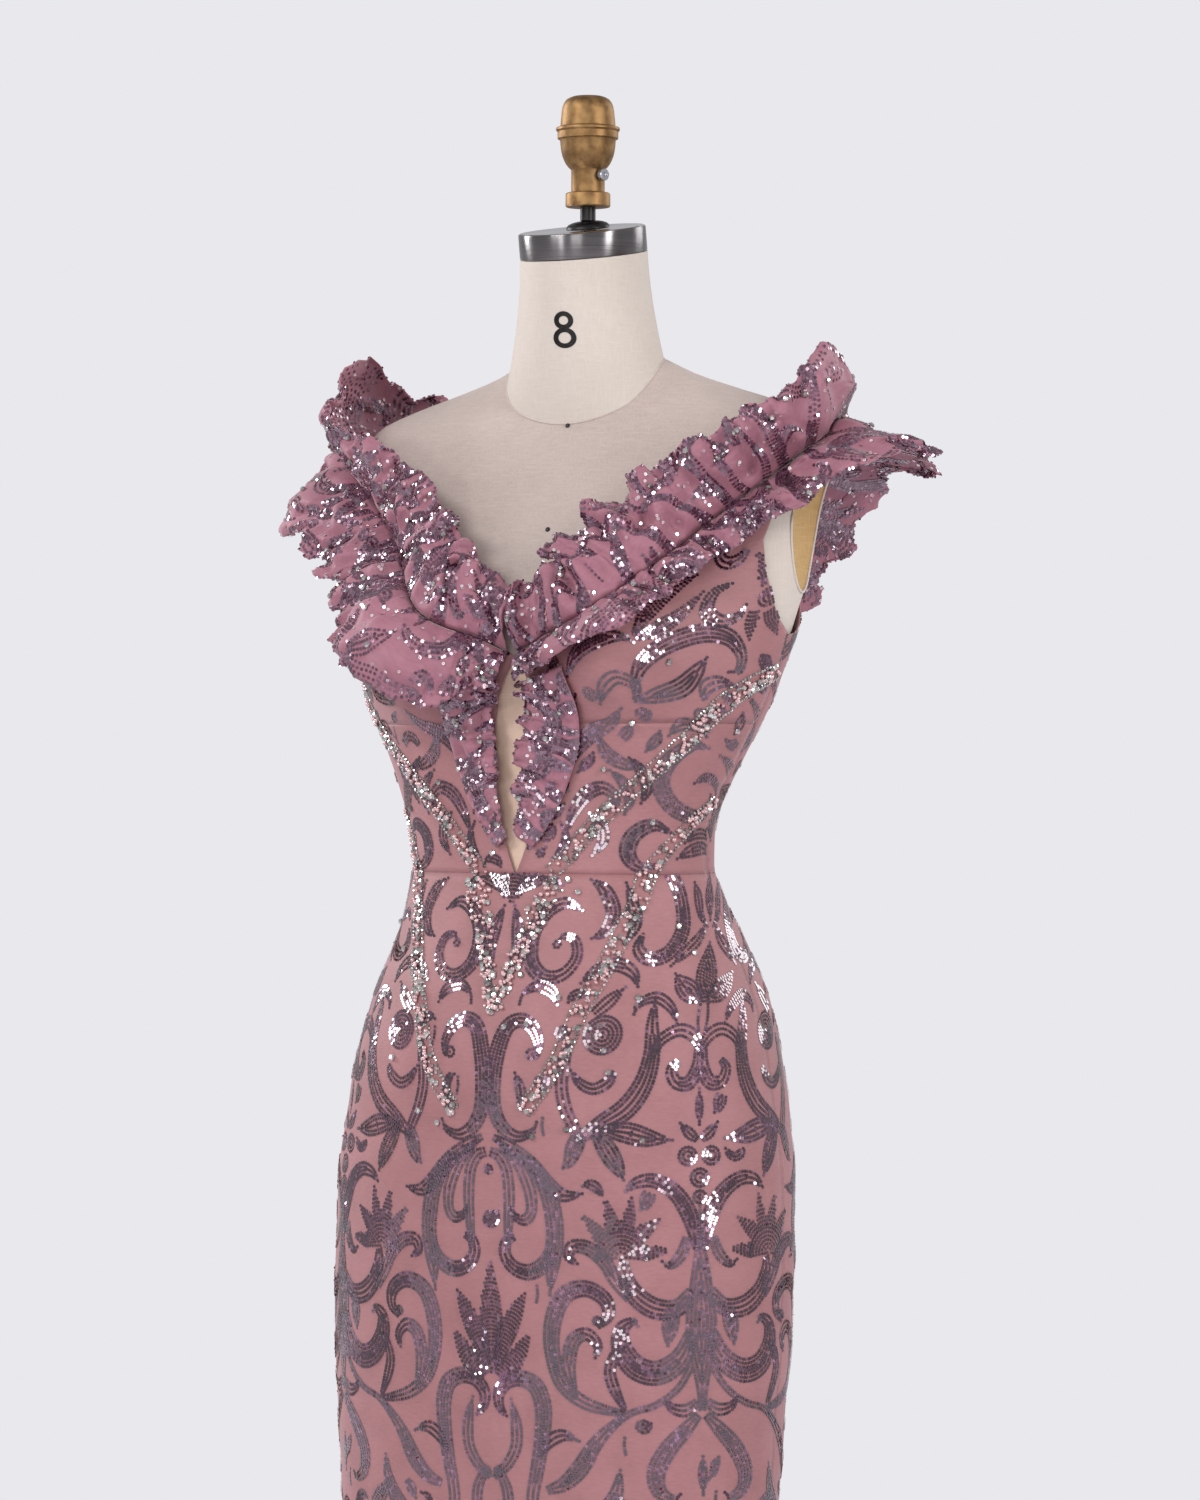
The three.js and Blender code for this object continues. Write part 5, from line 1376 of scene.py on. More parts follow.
@dataclass
class Flounce:
    """A gathered strip sewn into a seam, falling to one side of it.

    The grid runs along the seam and out to the free edge, with folds that open towards the edge.
    """

    name: str
    node: str
    side: int
    seam: Rows
    turn: int
    width: Callable[[Array], Array]
    lift: Callable[[Array], Array]
    waves: tuple[int, float, float]
    bow: float
    flat: tuple[float, float]
    area: float
    sway: float = 1.9
    crumple: float = 3.4
    gather: float = 3.2
    seed: int = 1
    step: float = 3.0
    clear_angle: float = 0.9
    fullness: float = 1.5
    clearance: float = 2.6

    def seam_places(self, count: int) -> tuple[Array, Array, float]:
        """Gives even places along the seam and the seam's length."""
        table = np.asarray(self.seam, float)[:, :2]
        padded = extended(table)
        fine = []
        for i in range(len(table) - 1):
            p0, p1, p2, p3 = padded[i:i + 4]
            d0, d1, d2 = (np.linalg.norm(b - a) ** 0.5 for a, b in ((p0, p1), (p1, p2), (p2, p3)))
            t1 = ((p1 - p0) / d0 - (p2 - p0) / (d0 + d1) + (p2 - p1) / d1) * d1
            t2 = ((p2 - p1) / d1 - (p3 - p1) / (d1 + d2) + (p3 - p2) / d2) * d1
            s = np.linspace(0, 1, 30, endpoint=False)[:, None]
            fine.append(p1 + t1 * s + (3 * (p2 - p1) - 2 * t1 - t2) * s**2 + (2 * (p1 - p2) + t1 + t2) * s**3)
        fine = np.vstack([*fine, table[-1:]])
        points = BODY.point(fine[:, 0], fine[:, 1])
        lengths = np.concatenate([[0], np.cumsum(np.linalg.norm(np.diff(points, axis=0), axis=1))])
        even = np.linspace(0, lengths[-1], count + 1)
        return np.interp(even, lengths, fine[:, 0]), np.interp(even, lengths, fine[:, 1]), float(lengths[-1])

    def grid(self) -> tuple[Array, Array]:
        """Works out the cloth's right side.

        Returns:
            The points as a grid of rows along the seam, and the run along the seam and across in millimetres.
        """
        length = self.seam_places(10)[2]
        count = math.ceil(self.fullness * length / self.step)
        angle, z, length = self.seam_places(count)
        at = np.linspace(0, 1, count + 1)
        points = BODY.point(angle, z)
        run = unit(np.gradient(points, axis=0))
        heading = unit(np.cross(BODY.frame(angle, z)[2], run) * self.turn)
        width, degrees = self.width(at), self.lift(at)
        lift = np.radians(degrees)
        waves, depth, phase = self.waves
        turn = 2 * np.pi * waves * at + phase
        turn = turn + 0.9 * np.sin(2 * np.pi * at * 3.3 + phase)
        wave = 0.5 + 0.38 * np.sin(turn) + 0.12 * np.sin(0.47 * turn + 1.3)
        fine = 2.6 * turn + 1.4 * np.sin(0.8 * turn + phase)
        jag = soft_noise(at * length / 14, 0 * at, self.seed + 2)
        reach = width * (0.9 + 0.14 * wave) + np.clip(width / 40, 0.2, 1) * (1.1 * jag + 0.6 * np.sin(fine))
        rows = max(6, math.ceil(float(width.max()) / self.step))
        free = np.clip((degrees - 22) / 25, 0, 1)
        full = np.clip(width / 34, 0.15, 1)
        feet = BODY.walk(angle, z, heading, 0.35 * np.cos(lift), 1)
        grid = []
        for share in np.linspace(0, 1, rows + 1):
            if share:
                feet = BODY.walk(feet[0], feet[1], heading, reach * np.cos(lift) / rows, 1)
            held = np.maximum(feet[0], self.clear_angle)
            rise = self.folds(at, share, width, wave, turn, fine, depth, length)
            rise = np.maximum(rise, -10 * free * share)
            height = reach * share * np.sin(lift) + rise * full
            point = BODY.lifted(held, feet[1], WALL_OUTSIDE + self.clearance + height)
            sway = -self.sway * share**0.8 * (np.sin(2 * turn) + 0.5 * np.sin(2 * fine)) * full
            drift = soft_noise(at * length / 26, np.full_like(at, share * 2), self.seed + 7)
            sway = sway + 1.6 * drift * share * full
            grid.append(point + run * sway[:, None])
        outer = np.stack(grid, axis=1) * [self.side, 1, 1]
        along = np.broadcast_to((at * length * self.fullness)[:, None], outer.shape[:2])
        across = np.linspace(0, 1, rows + 1)[None, :] * width[:, None]
        return outer, np.stack([along, across], -1)

    def folds(self, at: Array, share: float, width: Array, wave: Array, turn: Array, fine: Array,
              depth: float, length: float) -> Array:
        """Adds up the folds of one row of the cloth.

        Args:
            at: Share of the seam of each point.
            share: Share of the width at which the row lies.
            width: Width of the strip.
            wave: The large folds, 0 to 1.
            turn: Their phase.
            fine: Phase of the gathers.
            depth: Depth of the large folds.
            length: Length of the seam.

        Returns:
            The height of each point.
        """
        big = depth * wave * share**0.85 + self.bow * math.sin(math.pi * share) ** 0.8
        gathers = self.gather * (1 + np.sin(fine)) * (share**0.45) * math.exp(-0.9 * share)
        frill = 1.9 * (1 + np.sin(2.3 * fine + 0.5 + np.sin(turn))) * share**3
        place = at * length
        dents = soft_noise(place / 30, width * share / 24, self.seed) * min(1, 4 * share)
        small = soft_noise(place / 13, width * share / 15, self.seed + 4) * min(1, 4 * share)
        return big + gathers + frill + self.crumple * (1.1 * dents + 0.55 * small + 0.8)


@dataclass
class Ruffles:
    """The collar and keyhole flounces with their sequins."""

    finishes: Finishes
    embroidery: Embroidery
    sequins: Scatter
    loose: Scatter
    stones: Scatter
    thickness: float = 0.7
    spread: float = 1.25
    lift: float = 0.6
    loose_area: float = 105.0
    edge_spacing: float = 6.5

    def collar(self, side: int, word: str) -> list[Flounce]:
        """Gives a side's inner and outer collar flounce; the right outer one is the smoothest."""
        share, *columns = zip(*COLLAR_FALL[side])
        widths_and_lifts = [smooth_column(share, column) for column in columns]
        waves = {1: ((14, 10.0, 0.4), (15, 10.0, 2.1)), -1: ((13, 10.0, 1.7), (14, 8.5, 0.2))}[side]
        result = []
        for number, (layer, turn, bow) in enumerate((("inner", 1, 8.0), ("outer", -1, 4.0))):
            smooth = turn < 0 and side < 0
            result.append(Flounce(
                f"collar_flounce_{layer}_{word}", f"ruffle_{layer}_{word}", side, COLLAR_SEAM, turn,
                *widths_and_lifts[2 * number:2 * number + 2], waves[number], bow, (0.95, 0.065), 0.045,
                seed=20 + turn + side * 3, gather=2.0 if smooth else 3.2, crumple=2.6 if smooth else 3.4,
            ))
        return result

    def keyhole(self, side: int, word: str) -> Flounce:
        """Gives a side's keyhole flounce, whose width follows the level of its seam."""
        left = side > 0
        levels, falls = zip(*(row[1:] for row in KEYHOLE_FLOUNCE))
        widths = smooth_column(levels, [fall + (13 if left else 8) for fall in falls])
        flounce = Flounce(
            f"keyhole_flounce_{word}", f"keyhole_ruffle_{word}", side, KEYHOLE_FLOUNCE, 1, widths,
            lambda at: np.full_like(at, 3.0), (5, 4.5, 0.6 if left else 2.4), 1.0,
            (0.22, 0.045), 0.0055 if left else 0.0046, sway=1.4, crumple=1.8, gather=1.6, seed=40 + side,
        )
        seam_z = flounce.seam_places(100)[1]
        flounce.width = lambda at: widths(np.interp(at, np.linspace(0, 1, 101), seam_z))
        return flounce

    def build(self) -> None:
        """Makes each flounce, its sequin rows and the loose sequins on it; a flat size is the cut strip."""
        flounces = [f for side, word in SIDES for f in (*self.collar(side, word), self.keyhole(side, word))]
        for number, flounce in enumerate(flounces):
            outer, run = flounce.grid()
            normals = grid_normals(outer)
            away = outer - BODY.point(0.0, 1300.0) * [0, 0, 1] - [0, 40, 0]
            if np.mean(np.sum(normals * away, -1)) < 0:
                normals = -normals
            piece = shell_object(flounce.name, outer, normals, self.thickness, run, self.finishes.ruffle)
            settle(piece, "ruffle_cloth", flounce.node)
            LOG.info("%s: %.4f square metres", flounce.name, grid_area(outer))
            self.dress(flounce, outer, normals, run, number)

    def dress(self, flounce: Flounce, outer: Array, normals: Array, run: Array, seed: int) -> None:
        """Carries the embroidery over a flounce, with loose sequins and a few stones.

        The side that turns to view where the flounce stands up at the shoulder gets the same rows.
        """
        rows, columns = outer.shape[:2]
        long, width = run[..., 0].max(), run[:, -1, 1]
        low_arc, low_z = 600 + 37 * seed, 640 + 47 * seed
        places = self.embroidery.over(low_arc, low_arc + long, low_z, low_z + width.max() * self.spread)
        a = (places[:, 0] - low_arc) / long * (rows - 1)
        b = (places[:, 1] - low_z) / self.spread / np.interp(a, np.arange(rows), width) * (columns - 1)
        inside = (b > 0.1) & (b < columns - 1.1) & (a > 0.2) & (a < rows - 1.2)
        a, b, way = a[inside], b[inside], places[inside, 2:]
        rows_at, columns_at, row_way = a, b, way
        finish, silver = self.finishes.ruffle_sequin, self.finishes.loose_sequin
        cloth = (outer, normals)
        self.place(f"{flounce.name}_sequins", self.sequins, *cloth, a, b, way, finish, seed)
        edge = np.arange(1, rows - 2, self.edge_spacing * (rows - 1) / long)
        rim = np.full(len(edge), columns - 1.12)
        way = np.tile([1.0, 0.0], (len(edge), 1))
        self.place(f"{flounce.name}_edge_sequins", self.loose, *cloth, edge, rim, way, finish, seed + 20, 1.2)
        draw = np.random.default_rng(300 + seed)
        count = int(long * width.mean() / self.loose_area)
        a, b = draw.uniform(0.5, rows - 1.6, count), draw.beta(1.4, 1.0, count) * (columns - 1.3)
        turns = draw.uniform(0, 2 * np.pi, count)
        way = np.stack([np.cos(turns), np.sin(turns)], -1)
        self.place(f"{flounce.name}_loose_sequins", self.loose, *cloth, a, b, way, silver, seed + 50)
        few = slice(0, count // 16)
        self.place(f"{flounce.name}_stones", self.stones, *cloth, a[few], b[few], way[few],
                   self.finishes.rhinestone, seed + 70, 2.5)
        if "collar" in flounce.name:
            first, last = 0.28 * rows, 0.8 * rows
            a, b = draw.uniform(first, last, count), draw.uniform(0.3, columns - 1.2, count)
            back = (outer - normals * self.thickness, -normals)
            risen = (rows_at > first) & (rows_at < last)
            self.place(f"{flounce.name}_back_rows", self.sequins, *back, rows_at[risen], columns_at[risen],
                       row_way[risen], finish, seed + 110)
            self.place(f"{flounce.name}_back_sequins", self.loose, *back, a, b, way, silver, seed + 90)

    def place(self, name: str, tool: Scatter, outer: Array, normals: Array, a: Array, b: Array, way: Array,
              finish: Material, seed: int, radius: float = 1.4) -> None:
        """Sets small forms at places of a grid.

        Args:
            name: The piece's name.
            tool: What sets them.
            outer: Grid of the cloth's points.
            normals: Its normals.
            a: Row number of each place, with a fraction.
            b: Column number of each place, with a fraction.
            way: Direction of each, along and across.
            finish: Their material.
            seed: Choice of the small tilts.
            radius: Their radius.
        """
        i, j = a.astype(int), b.astype(int)
        p, q = (a - i)[:, None], (b - j)[:, None]

        def blended(table: Array) -> Array:
            """Blends a table of the grid's four corners round each place."""
            return ((table[i, j] * (1 - q) + table[i, j + 1] * q) * (1 - p)
                    + (table[i + 1, j] * (1 - q) + table[i + 1, j + 1] * q) * p)

        normal = unit(blended(normals))
        along = unit(outer[i + 1, j] - outer[i, j])
        across = unit(outer[i, j + 1] - outer[i, j])
        run = unit(along * way[:, :1] + across * way[:, 1:])
        draw = np.random.default_rng(500 + seed)
        lean = np.radians(draw.normal(8, 5, len(a)))[:, None]
        facing = unit(normal * np.cos(lean) + run * np.sin(lean))
        piece = tool.make(name, blended(outer) + normal * self.lift, facing, run, np.full(len(a), radius),
                          draw.beta(2.2, 2.2, len(a)), finish, seed)
        settle(piece, "ruffle_cloth")


@dataclass
class Beading:
    """Silver rhinestones, crystals and pink pearls in bands over the bodice and hips."""

    finishes: Finishes
    stones: Scatter
    pearls: Scatter
    rhinestone: float = 1.25
    crystal: float = 2.5
    pearl: float = 1.7
    edge_pitch: float = 3.2
    area_per_bead: float = 15.0
    lift: float = 0.3
    _stones: list = field(default_factory=list)
    _pearls: list = field(default_factory=list)

    def band(self, rows: Rows, widths: Sequence[float], seed: int, edged: bool = True) -> None:
        """Lays one band and its mirror.

        Args:
            rows: Arc and level along the band's middle.
            widths: Band width at its start and at its end.
            seed: Choice of the fill.
            edged: Whether a row of rhinestones runs down both edges.
        """
        share = np.linspace(0, 1, len(rows))
        width = widths[0] + (widths[1] - widths[0]) * share
        curve = curve_through(np.column_stack([rows, width]))
        lengths = run_lengths(curve[:, :2])
        draw = np.random.default_rng(seed)
        for side, _ in SIDES:
            for offset in (0.5, -0.5) if edged else ():
                stations = np.arange(0, lengths[-1], self.edge_pitch)
                self.take(self._stones, curve, lengths, stations, offset, side, self.rhinestone, draw)
            count = int(lengths[-1] * np.mean(widths) / self.area_per_bead)
            stations = draw.uniform(0, lengths[-1], count)
            offsets = draw.uniform(-0.4, 0.4, count)
            kinds = draw.random(count)
            for chosen, tray, radius in (
                (kinds < 0.24, self._stones, self.crystal),
                ((kinds >= 0.24) & (kinds < 0.5), self._stones, self.rhinestone),
                (kinds >= 0.5, self._pearls, self.pearl),
            ):
                self.take(tray, curve, lengths, stations[chosen], offsets[chosen], side, radius, draw)

    def take(self, tray: list, curve: Array, lengths: Array, stations: Array, offset: Array, side: int,
             radius: float, draw: np.random.Generator) -> None:
        """Adds beads at stations of a band to a tray."""
        middle = np.stack([np.interp(stations, lengths, curve[:, k]) for k in range(3)], -1)
        ahead, behind = (np.stack([np.interp(stations + step, lengths, curve[:, k]) for k in range(2)], -1)
                         for step in (1, -1))
        tangent = unit(ahead - behind)
        normal = np.stack([-tangent[:, 1], tangent[:, 0]], -1)
        places = middle[:, :2] + normal * (middle[:, 2] * offset)[:, None]
        jitter = draw.normal(0, 0.25, places.shape)
        tray += [(u, z, radius * draw.uniform(0.88, 1.12)) for u, z in (places + jitter) * [side, 1]]

    def build(self) -> None:
        """Lays the bands and makes the two pieces."""
        self.band(LOWER_BAND, (14, 11), 1)
        self.band(UPPER_BAND, (12, 10), 2)
        self.band(POINT_BAND, (30, 10), 3, edged=False)
        self.band(SIDE_BAND, (11, 7), 4)
        draw = np.random.default_rng(9)
        self._stones += [(u, z, self.crystal) for u, z in SCATTERED_GEMS]
        for tray, tool, finish, name, seed in (
            (self._stones, self.stones, self.finishes.rhinestone, "rhinestones_and_crystals", 11),
            (self._pearls, self.pearls, self.finishes.pearl, "pink_pearls", 12),
        ):
            arc, z, radius = np.array(tray).T
            angle = BODY.angle_at(arc, z)
            kept = ~np.isnan(angle) & ~((z > 1084) & (np.abs(angle) < KEYHOLE_HALF_ANGLE(z) + 1.0))
            angle, z = angle[kept], z[kept]
            along, _, normal = BODY.frame(angle, z)
            points = BODY.lifted(angle, z, WALL_OUTSIDE + crease(angle, z) + self.lift)
            tint = draw.random(len(z))
            piece = tool.make(name, points, normal, unit(along), radius[kept], tint, finish, seed)
            settle(piece, "sequin_cloth")


@dataclass
class DressForm:
    """The limbless form: linen torso and neck, steel cap, brass finial, pole and base."""

    finishes: Finishes
    cap_radius: float = 49.5
    cap_height: float = 20.0
    cap_y: float = 30.0
    neck_top: float = 1557.0
    tilt: float = 10.0
    finial_y: float = 37.0
    finial_z: float = 1595.0
    gap: float = 0.3
    screw_turn: float = -18.0
    numeral_turn: float = -85.0
    numeral_z: float = 1497.0
    neck_base: tuple[float, float, float, float] = (1420.0, 40.0, 79.0, 43.0)
    recess_centre: tuple[float, float, float] = (190.0, 42.0, 1344.0)
    recess_radii: tuple[float, float, float] = (22.0, 33.0, 53.0)
    recess_lean: float = -8.0

    def build(self) -> None:
        """Makes every part of the form."""
        self.torso()
        self.neck()
        self.numeral()
        self.pins()
        self.head()
        self.finial()
        self.stand()

    def torso(self) -> None:
        """Makes the torso with an oval recess at each arm, lined in a golden cloth; behind the keyhole its
        linen is painted lighter and warmer, as painted light.
        """
        levels = np.concatenate([np.arange(TORSO_BOTTOM, 1240, 10), np.arange(1240, TORSO_TOP, 5),
                                 [TORSO_TOP]])
        angles = np.arange(-180, 180, 3.0)
        rings = BODY.point(angles[None, :], levels[:, None])
        points, faces = ring_solid(rings, rings[0].mean(0), rings[-1].mean(0))
        piece = mesh_object("linen_torso", points, faces, self.finishes.chest)
        for finish in (self.finishes.recess, self.finishes.neck, self.finishes.lit_keyhole_linen):
            piece.data.materials.append(finish)
        turn, level = np.abs(angles + 1.5)[None, :], levels[:-1, None]
        side_faces = (turn > 60) & (turn < 122) & (level >= 1220) & (level < 1408)
        # Painted light: the faces behind the keyhole get the lighter, warmer linen where light falls into the
        # opening.
        painted_light_behind_keyhole = (turn < 9) & (level < 1240) & (level > 1070)
        marks = np.zeros(len(faces), np.int32)
        marks[:side_faces.size] = np.where(side_faces, 2, np.where(painted_light_behind_keyhole, 3, 0)).ravel()
        piece.data.polygons.foreach_set("material_index", marks)
        for side, _ in SIDES:
            cutter = self.recess_cutter(side)
            cut = piece.modifiers.new("recess", "BOOLEAN")
            cut.operation, cut.solver, cut.material_mode = "DIFFERENCE", "EXACT", "TRANSFER"
            cut.object = cutter
            graph = bpy.context.evaluated_depsgraph_get()
            result = bpy.data.meshes.new_from_object(piece.evaluated_get(graph), depsgraph=graph)
            piece.modifiers.remove(cut)
            piece.data = result
            bpy.data.objects.remove(cutter)
        piece.data.name = "linen_torso"
        piece.data.set_sharp_from_angle(angle=math.radians(35))
        settle(piece, "chest_linen", "form_torso")
        for side, word in SIDES:
            rim = ring_tube(f"arm_opening_rim_{word}", self.recess_rim(side), 1.0, self.finishes.neck)
            settle(rim, "neck_linen")

    def recess_cutter(self, side: int) -> Piece:
        """Makes the ellipsoid that hollows an arm opening."""
        turns, rise = round_turns(64), np.linspace(np.pi, 0, 34)[1:-1, None]
        rings = np.stack([np.sin(rise) * np.cos(turns), np.sin(rise) * np.sin(turns),
                          np.cos(rise) + 0 * turns], -1)
        points, faces = ring_solid(rings, [0, 0, -1], [0, 0, 1])
        centre = np.multiply(self.recess_centre, [side, 1, 1])
        placed = leaned(points * self.recess_radii, self.recess_lean) + centre
        return mesh_object("recess_cutter", placed, faces, self.finishes.recess)

    def recess_rim(self, side: int) -> Array:
        """Traces where an arm recess meets the torso's surface."""
        turns = round_turns(72)

        def place(reach: Array) -> tuple[Array, Array]:
            """Gives the angle and level at a reach from the recess's middle."""
            return 105 + reach * np.cos(turns) * 0.45, self.recess_centre[2] + reach * np.sin(turns)

        def hollowed(reach: Array) -> Array:
            """Tells whether the surface there lies in the recess."""
            local = leaned(BODY.point(*place(reach)) - self.recess_centre, -self.recess_lean)
            return np.sum((local / self.recess_radii) ** 2, -1) < 1

        angle, z = place(surface_share(np.zeros(72), np.full(72, 90.0), hollowed))
        return BODY.lifted(angle, z, np.full_like(z, 0.2)) * [side, 1, 1]

    def neck_point(self, turn: Array, t: Array) -> Array:
        """Gives a point of the neck's surface; `t` runs from its base to its top."""
        base_z, base_y, base_half, base_depth = self.neck_base
        narrowing = 1 - (1 - t) ** 1.6
        half = base_half + (self.cap_radius - base_half) * narrowing
        depth = base_depth + (self.cap_radius - base_depth) * t
        centre_y = base_y + (self.cap_y - base_y) * t
        level = base_z + (self.neck_top - base_z) * t
        y = depth * np.sin(turn)
        z = level + y * t * math.tan(math.radians(self.tilt))
        return np.stack([half * np.cos(turn), centre_y + y, z], -1)

    def neck(self) -> None:
        """Makes the neck from its piped seam with the torso up to the cap."""
        turns = round_turns(96)

        def buried(t: Array) -> Array:
            """Tells whether the neck's points there lie under the torso's surface."""
            point = self.neck_point(turns, t)
            return BODY.holds(point) & (point[..., 2] < TORSO_TOP + self.gap)

        foot = surface_share(np.zeros(96), np.full(96, 0.8), buried)
        rings = self.neck_point(turns[None, :], foot + (1 - foot) * np.linspace(0, 1, 26)[:, None])
        points, faces = ring_solid(rings, rings[0].mean(0), rings[-1].mean(0))
        piece = mesh_object("linen_neck", points, faces, self.finishes.neck)
        piece.data.set_sharp_from_angle(angle=math.radians(50))
        settle(piece, "neck_linen", "form_neck")
        settle(ring_tube("neck_seam_piping", rings[0], 0.9, self.finishes.piping), "neck_linen")

    def numeral(self) -> None:
        """Marks the plain size numeral 8 on the neck, as two rings of thin ink."""
        count, half_stroke, neck_radius, axis_y, rise = 32, 1.95, 52, 33, 0.03
        turns = round_turns(count)
        points, faces = [], []
        for centre, tall, broad in ((7.6, 5.5, 5.6), (-6.6, 6.5, 6.7)):
            inner, outer = len(points) + np.arange(2 * count).reshape(2, count)
            for grow in (-half_stroke, half_stroke):
                across = (broad + grow) * np.cos(turns)
                up = self.numeral_z + centre + (tall + grow) * np.sin(turns) - self.neck_base[0]
                t = up / (self.neck_top - self.neck_base[0]) + rise
                surface = self.neck_point(math.radians(self.numeral_turn) + across / neck_radius, t)
                out = unit(surface * [1, 1, 0] - [0, axis_y, 0])
                points += (surface + out * 0.25).tolist()
            faces += np.stack([outer, np.roll(outer, -1), np.roll(inner, -1), inner], -1).tolist()
        settle(mesh_object("size_numeral", np.array(points), faces, self.finishes.black), "black_steel")

    def pins(self) -> None:
        """Sets the few pin heads on the neck seam and the chest."""
        head = ((0, 0), (1.5, 0.1), (1.9, 0.6), (1.4, 1.3), (0, 1.6))
        for number, place in enumerate(((0.5, 1436.0), (1.0, 1423.0), (0.6, 1342.0))):
            out = BODY.frame(*place)[2]
            tilt = math.degrees(math.atan2(-out[1], out[2]))
            foot = BODY.lifted(*place, np.array(0.1))
            piece = lathe_object(f"pin_head_{number}", head, foot, self.finishes.black, 16, tilt)
            settle(piece, "black_steel")

    def head(self) -> None:
        """Makes the steel cap, washer and rod."""
        r, h = self.cap_radius, self.cap_height
        top = self.neck_top + self.gap
        cap = ((0, 0), (r - 1.4, 0), (r - 0.4, 0.3), (r, 1), (r, h - 1.6), (r - 0.5, h - 0.5), (r - 1.6, h),
               (0, h))
        piece = lathe_object("steel_neck_cap", cap, (0, self.cap_y, top), self.finishes.steel, 128, self.tilt)
        piece.data.materials.append(self.finishes.mirror)
        flat_top = [int(face.normal[2] > 0.9) for face in piece.data.polygons]
        piece.data.polygons.foreach_set("material_index", flat_top)
        settle(piece, "cap_steel", "neck_cap")
        lean = math.radians(self.tilt)
        across = (self.finial_y - self.cap_y) / math.cos(lean) + h * math.tan(lean)
        centre = leaned(np.array([0, across, h + self.gap]), self.tilt) + [0, self.cap_y, top]
        washer = ((0, 0), (17, 0), (16.6, 1.4), (15, 3.0), (12, 4.2), (8.5, 4.9), (0, 4.9))
        piece = lathe_object("black_washer", washer, centre, self.finishes.black, 64, self.tilt)
        settle(piece, "black_steel", "cap_washer")
        foot = centre[2] + 5.2
        length = self.finial_z - self.gap - foot
        rod = ((0, 0), (6, 0), (6, length), (0, length))
        piece = lathe_object("finial_rod_bar", rod, (0, self.finial_y, foot), self.finishes.black, 48)
        settle(piece, "black_steel", "finial_rod")

    def finial(self) -> None:
        """Makes the cast finial with eased steps, and the set screw in its neck."""
        rows = ((0, 0), (16.8, 0), (17.4, 0.7), (17.4, 9.6), (17.1, 10.4), (16.4, 10.9), (13.4, 11),
                (13, 11.5), (13, 28.2), (13.4, 29.2), (15.2, 30.8), (17.2, 33.4), (18.6, 36.3), (19.7, 39),
                (20.5, 42), (21.2, 46.4), (21.6, 51.4), (22, 52.4), (23.2, 52.7), (23.6, 53.2),
                (23.6, 58.2), (24.2, 58.8),
                (24.8, 59.6), (24.8, 61), (24.4, 61.6), (22, 62), (21.4, 62.6), (21, 68), (20.3, 74.6),
                (19.6, 78.2), (18.4, 81), (16.6, 83.3), (14, 84.8), (11.5, 85.7), (9, 86), (0, 86))
        piece = lathe_object("brass_finial", rows, (0, self.finial_y, self.finial_z), self.finishes.brass)
        settle(piece, "finial_brass", "finial")
        screw = ((0, 0), (2.4, 0), (2.4, 1.6), (4.4, 1.6), (4.8, 2.1), (4.8, 4.9), (4.2, 5.6), (2.4, 5.6),
                 (1.8, 4.4), (0, 4.4))
        piece = lathe_object("set_screw", screw, (0, 0, 13 + self.gap), self.finishes.zinc, 32)
        x, y, z = np.array([v.co for v in piece.data.vertices]).T
        out = math.radians(self.screw_turn)
        placed = np.stack([z * math.cos(out) + y * math.sin(out),
                           z * math.sin(out) - y * math.cos(out), x], -1)
        placed += np.array([0, self.finial_y, self.finial_z + 24]) * MM
        piece.data.vertices.foreach_set("co", placed.ravel())
        piece.data.update()
        settle(piece, "screw_zinc", "finial_screw")

    def stand(self) -> None:
        """Makes the pole and the round base."""
        low, high = 42 + self.gap, TORSO_BOTTOM - self.gap
        pole = ((0, 0), (14.6, 0), (15, 0.4), (15, high - low - 0.4), (14.6, high - low), (0, high - low))
        piece = lathe_object("stand_pole", pole, (0, 0, low), self.finishes.pole, 64)
        settle(piece, "pole_steel", "form_pole")
        base = ((0, 0), (188, 0), (189.6, 0.6), (190, 2), (190, 8), (189.3, 10.2), (187.6, 11.6), (185, 12),
                (30, 13), (27.4, 14.4), (26, 17), (26, 40), (25.4, 41.5), (24, 42), (0, 42))
        piece = lathe_object("stand_base", base, (0, 0, 0), self.finishes.base, 128)
        settle(piece, "base_paint", "form_base")


@dataclass
class BackZip:
    """The closed coil zip at centre back, its slider and pull."""

    finishes: Finishes
    teeth: Scatter
    nodes: dict
    first: float = 903.0
    last: float = 1184.0
    pitch: float = 2.0

    def build(self) -> None:
        """Sets the coil's turns on its tape and dresses the slider and pull."""
        z = np.arange(self.first, self.last, self.pitch)
        angle = np.where(np.arange(len(z)) % 2 == 0, 179.75, -179.75)
        facing = unit(BODY.frame(np.full_like(z, 179.9), z)[2] * [0, 1, 1])
        points = BODY.point(angle, z) + facing * (WALL_OUTSIDE - 0.2)
        run = np.tile([1.0, 0.0, 0.0], (len(z), 1))
        tint = np.random.default_rng(77).random(len(z))
        piece = self.teeth.make("zip_coil_turns", points, facing, run, np.ones(len(z)), tint,
                                self.finishes.enamel, 3)
        settle(piece, "zip_tape")
        for name, finish in (("zip_coil", self.finishes.tape), ("zip_slider", self.finishes.enamel),
                             ("zip_pull", self.finishes.enamel)):
            materials = self.nodes[name].data.materials
            for slot in range(len(materials)):
                materials[slot] = finish


